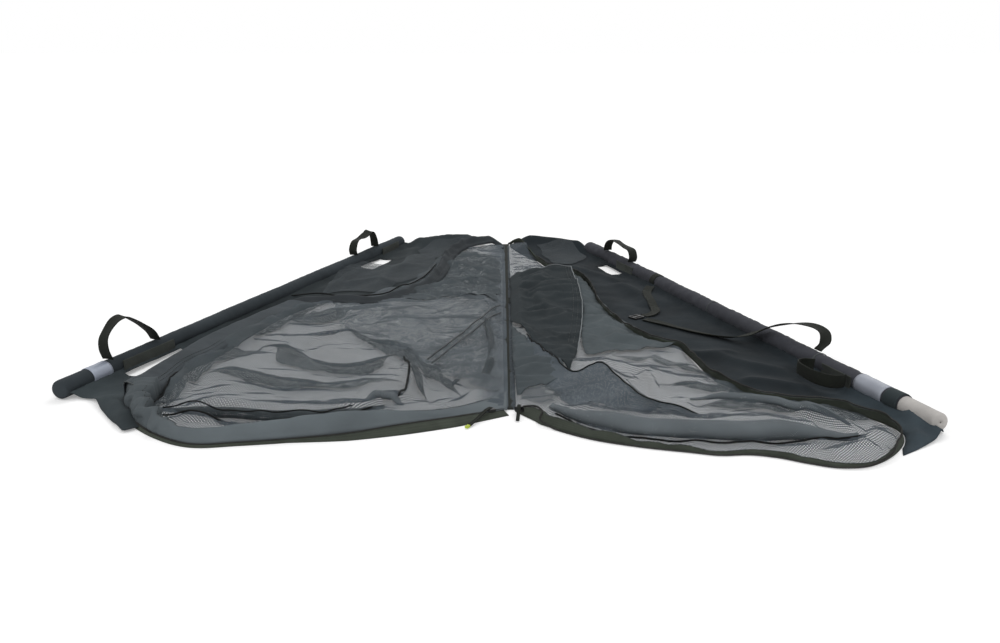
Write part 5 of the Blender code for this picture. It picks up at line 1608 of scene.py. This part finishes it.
def webbing(name, first, second, material, body, slot, node, bow=0.0008):
    """Flat webbing between its two edges, bowed a little and given its thickness."""
    rows = []
    for share in (0.0, 0.06, 0.3, 0.5, 0.7, 0.94, 1.0):
        row = first + (second - first) * share
        out = unit(np.cross(np.gradient(row, axis=0), second - first))
        rows.append(row + out * bow * math.sin(share * math.pi))
    piece = keep_piece(name, loft_mesh(name, rows), material, body, (node,))
    give_thickness(piece, WEBBING_THICKNESS)


def hole_edge(bar, end, start, stop):
    """The webbing that is sewn along a hand hole, low on the sleeve's flank."""
    reach = SLEEVE_RADIUS + 0.0014
    steps = 60
    seed = 151 + len(end) + len(bar.side)
    sway = 0.0008 * noise(np.linspace(start, stop, steps), 0.0, 0.03, seed)
    low = bar.line(start, stop, steps, reach + 0.0010, AXIS_HEIGHT - 0.0098)
    high = bar.line(start, stop, steps, reach, AXIS_HEIGHT + 0.0098)
    high[:, 2] += sway
    low += np.outer(np.abs(sway), bar.inward)
    webbing("%s_%s_hole_edge" % (bar.side, end), low, high, hole_webbing, bar.body, "olive_tape",
            "%s_%s_hole_webbing" % (bar.side, end))


hole_edge(left_bar, "near", 0.122, 0.252)
hole_edge(left_bar, "far", 1.084, 1.180)
hole_edge(right_bar, "near", 0.104, 0.178)
hole_edge(right_bar, "far", 0.900, 0.990)

LEFT_NEAR_LOOP = [(0.108, 0.0156), (0.101, 0.034), (0.104, 0.053), (0.127, 0.071), (0.147, 0.075),
                  (0.160, 0.071), (0.190, 0.052), (0.214, 0.033), (0.226, 0.0156)]
LEFT_FAR_LOOP = [(0.962, 0.0156), (0.958, 0.030), (0.972, 0.047), (1.004, 0.049), (1.032, 0.054),
                 (1.048, 0.058), (1.062, 0.051), (1.072, 0.033), (1.076, 0.0156)]
RIGHT_FAR_LOOP = [(0.940, 0.0156), (0.934, 0.027), (0.944, 0.041), (0.972, 0.043), (1.006, 0.045),
                  (1.040, 0.047), (1.066, 0.039), (1.078, 0.027), (1.080, 0.0156)]
RIGHT_NEAR_LOOP = [(0.112, 0.0200), (0.106, 0.036), (0.110, 0.052), (0.130, 0.062), (0.160, 0.062),
                   (0.184, 0.056), (0.196, 0.040), (0.192, 0.0200)]


def handle(bar, end, stations, tilt_degrees, seed):
    """A webbing loop that stands on the sleeve, with its edges twisted a little."""
    tilt = math.radians(tilt_degrees)
    outward = UP * math.cos(tilt) + bar.inward * math.sin(tilt)
    across = bar.inward * math.cos(tilt) - UP * math.sin(tilt)
    centre = even_line(smooth_line([bar.point(a) + outward * r for a, r in stations], 8), 90)
    run = run_lengths(centre)
    twist = 0.22 * noise(run, 0.0, 0.045, seed) * taper(run / run[-1], 0.25)
    normal = np.cross(unit(np.gradient(centre, axis=0)), across)
    half = (np.cos(twist)[:, None] * across + np.sin(twist)[:, None] * normal) * WEBBING_WIDTH / 2
    webbing("%s_%s_grip" % (bar.side, end), centre - half, centre + half, black_webbing,
            "%s_handle_%s" % (end, bar.side), "webbing_black", "%s_%s_handle" % (bar.side, end))


handle(left_bar, "near", LEFT_NEAR_LOOP, 0.0, 161)
handle(left_bar, "far", LEFT_FAR_LOOP, 0.0, 162)
handle(right_bar, "far", RIGHT_FAR_LOOP, 0.0, 163)
handle(right_bar, "near", RIGHT_NEAR_LOOP, 84.0, 164)

SHORT_STRAP = [
    (0.3060, 0.072, 0.0140), (0.2950, 0.044, 0.0090), (0.2900, 0.000, 0.0052),
    (0.2930, -0.055, 0.0045), (0.2920, -0.095, 0.0045), (0.2800, -0.122, 0.0045),
    (0.2640, -0.134, 0.0045),
]
CARRY_STRAP = [
    (0.2620, -0.158, 0.0045), (0.2900, -0.186, 0.0045), (0.3180, -0.220, 0.0045),
    (0.3500, -0.256, 0.0050), (0.3900, -0.296, 0.0090), (0.4240, -0.326, 0.0240),
    (0.4500, -0.352, 0.0440), (0.4790, -0.378, 0.0570), (0.5030, -0.404, 0.0610),
    (0.5150, -0.428, 0.0570), (0.5120, -0.446, 0.0450), (0.4990, -0.452, 0.0330),
]
STRAP_WIDTH = 0.018


def strap(name, points, node, seed):
    """A strap along a free route, nearly level across its width."""
    centre = even_line(smooth_line(points), 120)
    run = run_lengths(centre)
    lean = 0.0035 * noise(run, 0.0, 0.06, seed) * taper(run / run[-1], 0.2)
    edges = []
    for side in (-1.0, 1.0):
        edge = beside(centre, side * STRAP_WIDTH / 2)
        cloth = right_skirt_ground(edge[:, 0], edge[:, 1]) + 0.0018
        edge[:, 2] = np.maximum(edge[:, 2] - side * lean, cloth)
        edges.append(edge)
    webbing(name, *edges, black_webbing, "carry_strap", "webbing_black", node)


strap("short_strap_webbing", SHORT_STRAP, "right_short_strap", 171)
strap("carry_strap_webbing", CARRY_STRAP, "right_carry_strap", 172)

# %% [markdown]
# The sliders sit at the near end of the keel. Each carries a soft tab pull, and the left one
# ends in a small coloured tip, the only bright spot on the sling.

# %% Zip pulls
def pull_tab(side, end, width):
    low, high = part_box(side + "_zip_slider")
    start = np.array(((low[0] + high[0]) / 2, (low[1] + high[1]) / 2, high[2] + 0.0018))
    run = end - start
    route = [start, start + run * (0.25, 0.25, 0.0), start + run * (0.6, 0.6, 0.55), end]
    line = even_line(smooth_line(route, 8), 40)
    line[:, 2] = np.maximum(line[:, 2], 0.0012)
    webbing(side + "_pull_tab", beside(line, -width / 2), beside(line, width / 2), black_webbing,
            "pull_" + side, "webbing_black", side + "_zip_pull", 0.0004)


pull_tab("left", np.array((-0.0560, -0.7080, 0.0030)), 0.0052)
pull_tab("right", np.array((0.0110, -0.6880, 0.0026)), 0.0050)

# %% [markdown]
# The near float of the right half stands out of its sleeve. It is soft foam, so its ends are
# rounded over and its skin has small pits. The rest of the bar's parts are hard and already
# have their shape in the model, so they only take a better material.

# %% The float that shows, and the hard parts
FLOAT_RADIUS = 0.0132
FLOAT_SIDES = 32
ROUNDING = 0.0030


def foam_float(name, bar, start, end, body, node):
    """A foam tube with rounded ends and its bore, as one closed skin."""
    stations = [(start + 0.0016, 0.0068), (start + 0.0016, 0.0010), (start, 0.0010),
                (start - 0.0004, 0.0060), (start, FLOAT_RADIUS - ROUNDING),
                (start + ROUNDING * 0.3, FLOAT_RADIUS - ROUNDING * 0.3),
                (start + ROUNDING, FLOAT_RADIUS)]
    stations += [(a, FLOAT_RADIUS)
                 for a in np.linspace(start + ROUNDING * 1.5, end - ROUNDING * 1.5, 60)]
    stations += [(end - ROUNDING, FLOAT_RADIUS), (end, FLOAT_RADIUS - ROUNDING), (end, 0.0078),
                 (end - 0.0004, 0.0068)]
    along, radius = np.array(stations).T

    def radius_at(turn):
        dent = 0.00025 * noise(along, turn * 0.013, 0.012, 181)
        return radius + np.where(radius > FLOAT_RADIUS - 0.0001, dent, 0.0)

    mesh = loft_mesh(name, rings_round(bar, along, FLOAT_SIDES, radius_at), True, ("bore",))
    keep_piece(name, mesh, foam_pale, body, (node,))


foam_float("right_near_foam", right_bar, -0.072, right_bar.length / 2 - 0.003,
           "right_near_float", "right_float_near")
HARD_PARTS = (
    (foam_pale, ("left_float_near", "left_float_far", "right_float_far")),
    (alloy, ("left_pole_near", "left_pole_far", "right_pole_near", "right_pole_far",
             "left_pole_spigot", "right_pole_spigot")),
    (plug_black, ("left_pole_plug_near", "left_pole_plug_far", "right_pole_plug_near",
                  "right_pole_plug_far")),
    (slider_black, ("left_zip_slider", "right_zip_slider", "right_strap_adjuster")),
    (pull_yellow, ("left_zip_pull_tip",)))
for finish, nodes in HARD_PARTS:
    for node in nodes:
        solid = bpy.data.objects[node]
        if not solid.material_slots:
            solid.data.materials.append(finish)
        for slot in solid.material_slots:
            slot.material = finish

# %% [markdown]
# Along each front edge the spare net is gathered into a roll, held down by a line of black
# binding, whose black lines also stand for the deep shadow along the roll as painted shadow.
# A roll is a spiral drawn round a line: each layer lies a little inside the last.

# %% Rolled net, and its black binding with painted shadow
ROLL_SQUASH = 0.8


def rolled_net(side, name, pixels, radius, turns, ground, material, seed):
    """A roll of spare net that lies on the ground, thinner at its ends."""
    line = even_line(smooth_line(spots(pixels)), 170)
    run = run_lengths(line)
    size = radius * (0.35 + 0.65 * taper(run / run[-1], 0.28))
    size = size * (1.0 + 0.10 * noise(run, 0.0, 0.09, seed))
    base = np.minimum(ground(line[:, 0], line[:, 1]), 0.010)
    outward = to_right(line)
    rows = []
    for angle in np.linspace(0, 2 * math.pi * turns, int(22 * turns)):
        inside = 1.0 - 0.32 * angle / (2 * math.pi * turns)
        crease = 1.0 + 0.09 * noise(run, angle * 0.012, 0.010, seed + 1, 5.0)
        reach = size * inside * crease
        row = line - outward * (reach * math.cos(angle))[:, None]
        row[:, 2] = base + ROLL_SQUASH * (size * 0.9 + reach * math.sin(angle))
        row[:, 2] = np.clip(row[:, 2], 0.0012, fold_limit(row[:, 0]) + 0.004)
        rows.append(row)
    lofted_cloth(name, rows, material, side + "_half", "mesh_cloth", (), 0.0, "folded",
                 (side + "_net",))


def laid_cord(side, name, pixels, radius, ground, clearance, material=black_binding,
              height=0.010, even=4):
    """A cord laid on cloth. Even is over how many points to each side its height is averaged."""
    line = even_line(smooth_line(spots(pixels, height)), 120)
    line[:, 2] = ground(line[:, 0], line[:, 1]) + clearance
    wide = np.ones(2 * even + 1) / (2 * even + 1)
    line[:, 2] = np.convolve(np.pad(line[:, 2], even, mode="edge"), wide, "valid")
    sign = np.sign(line[:, 0].mean())
    line[:, 0] = sign * np.maximum(sign * line[:, 0], SEAM_REACH)
    line[:, 2] = np.minimum(line[:, 2], fold_limit(line[:, 0]) + 0.0012 - radius)
    round_piece(name, line, radius, material, side + "_half")


# The left roll's dark net is partly its extra layers and partly painted shade of its shaded inside.
rolled_net("left", "left_net_roll",
           [(160, 405), (185, 408), (220, 412), (262, 416), (310, 416), (350, 411), (384, 403)],
           0.0105, 1.4, left_net_ground, net_dense_and_shade, 201)
rolled_net("right", "right_net_roll_front",
           [(552, 405), (590, 419), (640, 429), (700, 433), (750, 434), (800, 434), (858, 436)],
           0.0180, 1.6, right_net_ground, net_roll, 203)
rolled_net("right", "right_net_roll_back",
           [(690, 396), (730, 400), (770, 404), (815, 412), (850, 424)],
           0.0080, 1.3, right_net_ground, net_roll, 205)
# Black binding along the left roll's lips, which also paints the deep shadow there.
laid_cord("left", "left_roll_binding_shade_low",
          [(163, 413), (200, 418), (240, 422), (290, 425), (320, 422), (345, 416), (372, 407)],
          0.0014, left_net_height, 0.004)
laid_cord("left", "left_roll_binding_shade_top",
          [(163, 408), (200, 408), (240, 411), (290, 413), (325, 411), (352, 407)],
          0.0012, left_net_height, 0.016, height=0.020)
laid_cord("left", "left_gather_binding", [(404, 356), (409, 366), (408, 378), (405, 390), (399, 399)],
          0.0018, left_net_height, 0.004)
laid_cord("left", "left_gather_shadow", [(412, 358), (417, 370), (420, 384), (426, 397)],
          0.0007, left_net_height, 0.003, thread_dark)
laid_cord("left", "left_net_seam", [(428, 361), (455, 341), (485, 317), (500, 304)],
          0.0014, left_net_height, 0.0078, thread_dark, even=20)
laid_cord("left", "left_net_seam_twin", [(432, 365), (459, 345), (488, 322), (501, 311)],
          0.0012, left_net_height, 0.0078, thread_dark, even=20)
# Black cords laid where dark slits show between folds: painted shadow of the slits.
laid_cord("left", "left_far_slit_shadow",
          [(286, 296), (318, 293), (345, 296), (372, 296), (398, 290), (424, 276), (436, 264)],
          0.0015, left_net_ground, 0.007)
laid_cord("left", "left_side_slit_shadow", [(145, 408), (156, 399), (166, 389), (176, 377), (186, 365)],
          0.0013, left_net_height, 0.004)
rolled_net("left", "left_net_knot", [(366, 401), (376, 398), (390, 398), (403, 401)], 0.0075, 2.2,
           left_net_ground, net_roll, 207)
# Black binding under the right roll, which also paints the deep shadow beneath it.
laid_cord("right", "right_roll_binding_shade",
          [(556, 413), (600, 431), (660, 438), (740, 441), (800, 440), (862, 437)],
          0.0015, right_net_height, 0.003)

# %% [markdown]
# The keel is a bound seam: both halves' cloth is caught in one folded strip, which is also the
# hinge. It lies low, and cloth from the right half bulges over its edge. The strip is made
# black as painted shade: it stands for the dark shade along the keel.

# %% The keel seam
KEEL_PROFILE = ((-0.0078, 0.0003), (-0.0080, 0.0010), (-0.0060, 0.0014), (-0.0024, 0.0016),
                (0.0, 0.0014), (0.0024, 0.0016), (0.0060, 0.0016), (0.0088, 0.0014),
                (0.0098, 0.0010), (0.0096, 0.0003))
keel_run = np.linspace(KEEL_NEAR, KEEL_FAR, 260)
keel_rows = [np.stack((across + 0.0003 * noise(keel_run, across, 0.02, 191), keel_run,
                       np.full(len(keel_run), height)), 1) for across, height in KEEL_PROFILE]
# Painted shade: the keel strip is black to stand for the shade along the keel.
keel_piece = keep_piece("keel_seam_shade", loft_mesh("keel_seam_shade", keel_rows), black_webbing, "keel",
                        ("keel_binding",))
give_thickness(keel_piece, 0.0006, -1.0)

# %% [markdown]
# Seams are what makes cloth look sewn. Each seam here is a line taken from the piece that it
# closes, lifted by a millimetre, with short threads laid along it by Geometry Nodes.

# %% Seams and stitches
def seam_line(rows, row, start=0.0, end=1.0, count=200):
    """A line along one row of a lofted cloth, between two shares of its length."""
    line = even_line(rows[row], 400)[int(400 * start):max(int(400 * end), 2)]
    return even_line(line, count) + UP * 0.0010


def sew(side, lines, thread):
    """Lays threads along the seams of one half."""
    name = side + "_seam_stitches"
    mesh = grown_mesh(name, stitches, lines, {"Spacing": 0.0060, "Length": 0.0042,
                                              "Thread": thread, "Material": thread_dark})
    keep_piece(name, mesh, thread_dark, side + "_half")


corner_seam = np.array([row[0] for row in side_rows[2:-1]]) + UP * 0.0010
round_piece("left_corner_seam", even_line(corner_seam, 40), 0.0009, thread_dark, "left_half",
            sides=6)
sew("left", [seam_line(side_rows, 8, 0.0, 0.55), seam_line(side_rows, 7, 0.0, 0.50),
             seam_line(front_rows, 7, 0.03, 0.95), seam_line(far_rows, 6, 0.0, 0.7)], 0.00042)
for name, line in (("right_panel_piping_side", base_grid[14:, -1]),
                   ("right_panel_piping_far", base_grid[-1, 3:])):
    round_piece(name, even_line(line + UP * 0.0012, 110), 0.0010, thread_grey, "right_half")
sew("right", [seam_line(right_tape_rows, 4, 0.02, 0.95, 500),
              even_line(base_grid[16:, -3] + UP * 0.0010, 200),
              even_line(base_grid[16:, -5] + UP * 0.0010, 200)], 0.00040)

# %% [markdown]
# At the far end of the keel the right zip's tape rises in a loop, and loose net lies over the
# far part of both skirts, where it shows as a lighter patch.

# %% The far loop of tape, and net over the skirts
FAR_LOOP = [(0.078, 0.382, 0.0020), (0.070, 0.425, 0.0040), (0.056, 0.490, 0.0110),
            (0.041, 0.545, 0.0165), (0.024, 0.575, 0.0100), (0.008, 0.582, 0.0032)]
far_loop = even_line(smooth_line(FAR_LOOP), 120)
loop_top = np.minimum(far_loop[:, 2] + 0.0110, 0.0030 + 0.64 * far_loop[:, 0])
loop_rows = []
for share in (0.0, 0.35, 0.7, 1.0):
    row = beside(far_loop, -0.0030 * share)
    row[:, 2] = far_loop[:, 2] + (loop_top - far_loop[:, 2]) * share
    loop_rows.append(row)
lofted_cloth("right_far_tape", loop_rows, olive_tape, "right_half", "olive_tape", (), 0.0008,
             "stretched", ("right_net",))
lining("left", "left_far_net_patch",
       [(322, 293), (338, 276), (356, 266), (374, 262), (396, 266), (410, 256), (424, 252),
        (436, 260), (420, 275), (402, 281), (378, 291), (350, 290)],
       left_skirt_ground, net_over_skirt, 321, 0.0030, "skirt_cloth")
lining("left", "left_far_net_strip",
       [(418, 250), (432, 245), (455, 243), (472, 242), (462, 247), (447, 252), (432, 258)],
       left_skirt_ground, net_over_skirt, 323, 0.0030, "skirt_cloth")
lining("right", "right_far_net_patch",
       [(538, 246), (560, 247), (574, 250), (586, 256), (574, 262), (557, 262), (546, 256)],
       right_skirt_ground, net_over_skirt, 325, 0.0030, "skirt_cloth")

# %% Floor, light and background
FLOOR_GLOW = 0.26
WORLD_LIGHT = 0.40


def plain_floor():
    """A wide white floor that glows a little, but only to the camera."""
    half = 60.0
    mesh = mesh_from("floor", [(-half, -half, 0), (half, -half, 0), (half, half, 0), (-half, half, 0)],
                     [(0, 1, 2, 3)])
    paper = Finish("floor_white", (0.90, 0.90, 0.90), 0.95)
    paper.give("Specular IOR Level", 0.0)
    paper.give("Emission Color", (1.0, 1.0, 1.0, 1.0))
    seen = paper.node("LightPath").outputs["Is Camera Ray"]
    paper.give("Emission Strength", paper.math("MULTIPLY", seen, FLOOR_GLOW))
    mesh.materials.append(paper.material)
    new_object("floor", mesh)


def light_world():
    """A world that is white to the camera and in reflections, and a dimmer light to the rest."""
    world = bpy.data.worlds.new("studio")
    bpy.context.scene.world = world
    world.use_nodes = True
    tree = world.node_tree
    back = tree.nodes["Background"]
    back.inputs["Color"].default_value = (1.0, 1.0, 1.0, 1.0)
    rays = add_node(tree, "ShaderNodeLightPath").outputs
    seen = rays["Is Camera Ray"]
    for way in ("Is Transmission Ray", "Is Glossy Ray"):
        seen = add_node(tree, "ShaderNodeMath", {0: seen, 1: rays[way]}, operation="MAXIMUM").outputs[0]
    level = add_node(tree, "ShaderNodeMapRange", {"Value": seen, "To Min": WORLD_LIGHT, "To Max": 1.0})
    tree.links.new(level.outputs[0], back.inputs["Strength"])


def soft_sun(name, direction, strength, spread_degrees):
    """A very wide sun: it lights the whole floor evenly and leaves soft shadows."""
    lamp = bpy.data.lights.new(name, "SUN")
    lamp.energy = strength
    lamp.angle = math.radians(spread_degrees)
    new_object(name, lamp).rotation_euler = Vector(direction).to_track_quat("-Z", "Y").to_euler()


plain_floor()
light_world()
soft_sun("back_sun", (-0.30, -0.70, -0.95), 0.66, 40.0)
soft_sun("side_sun", (0.80, 0.25, -0.60), 0.52, 60.0)
soft_sun("front_sun", (-0.15, 0.80, -0.75), 1.12, 50.0)
bpy.context.scene.view_settings.view_transform = "Standard"
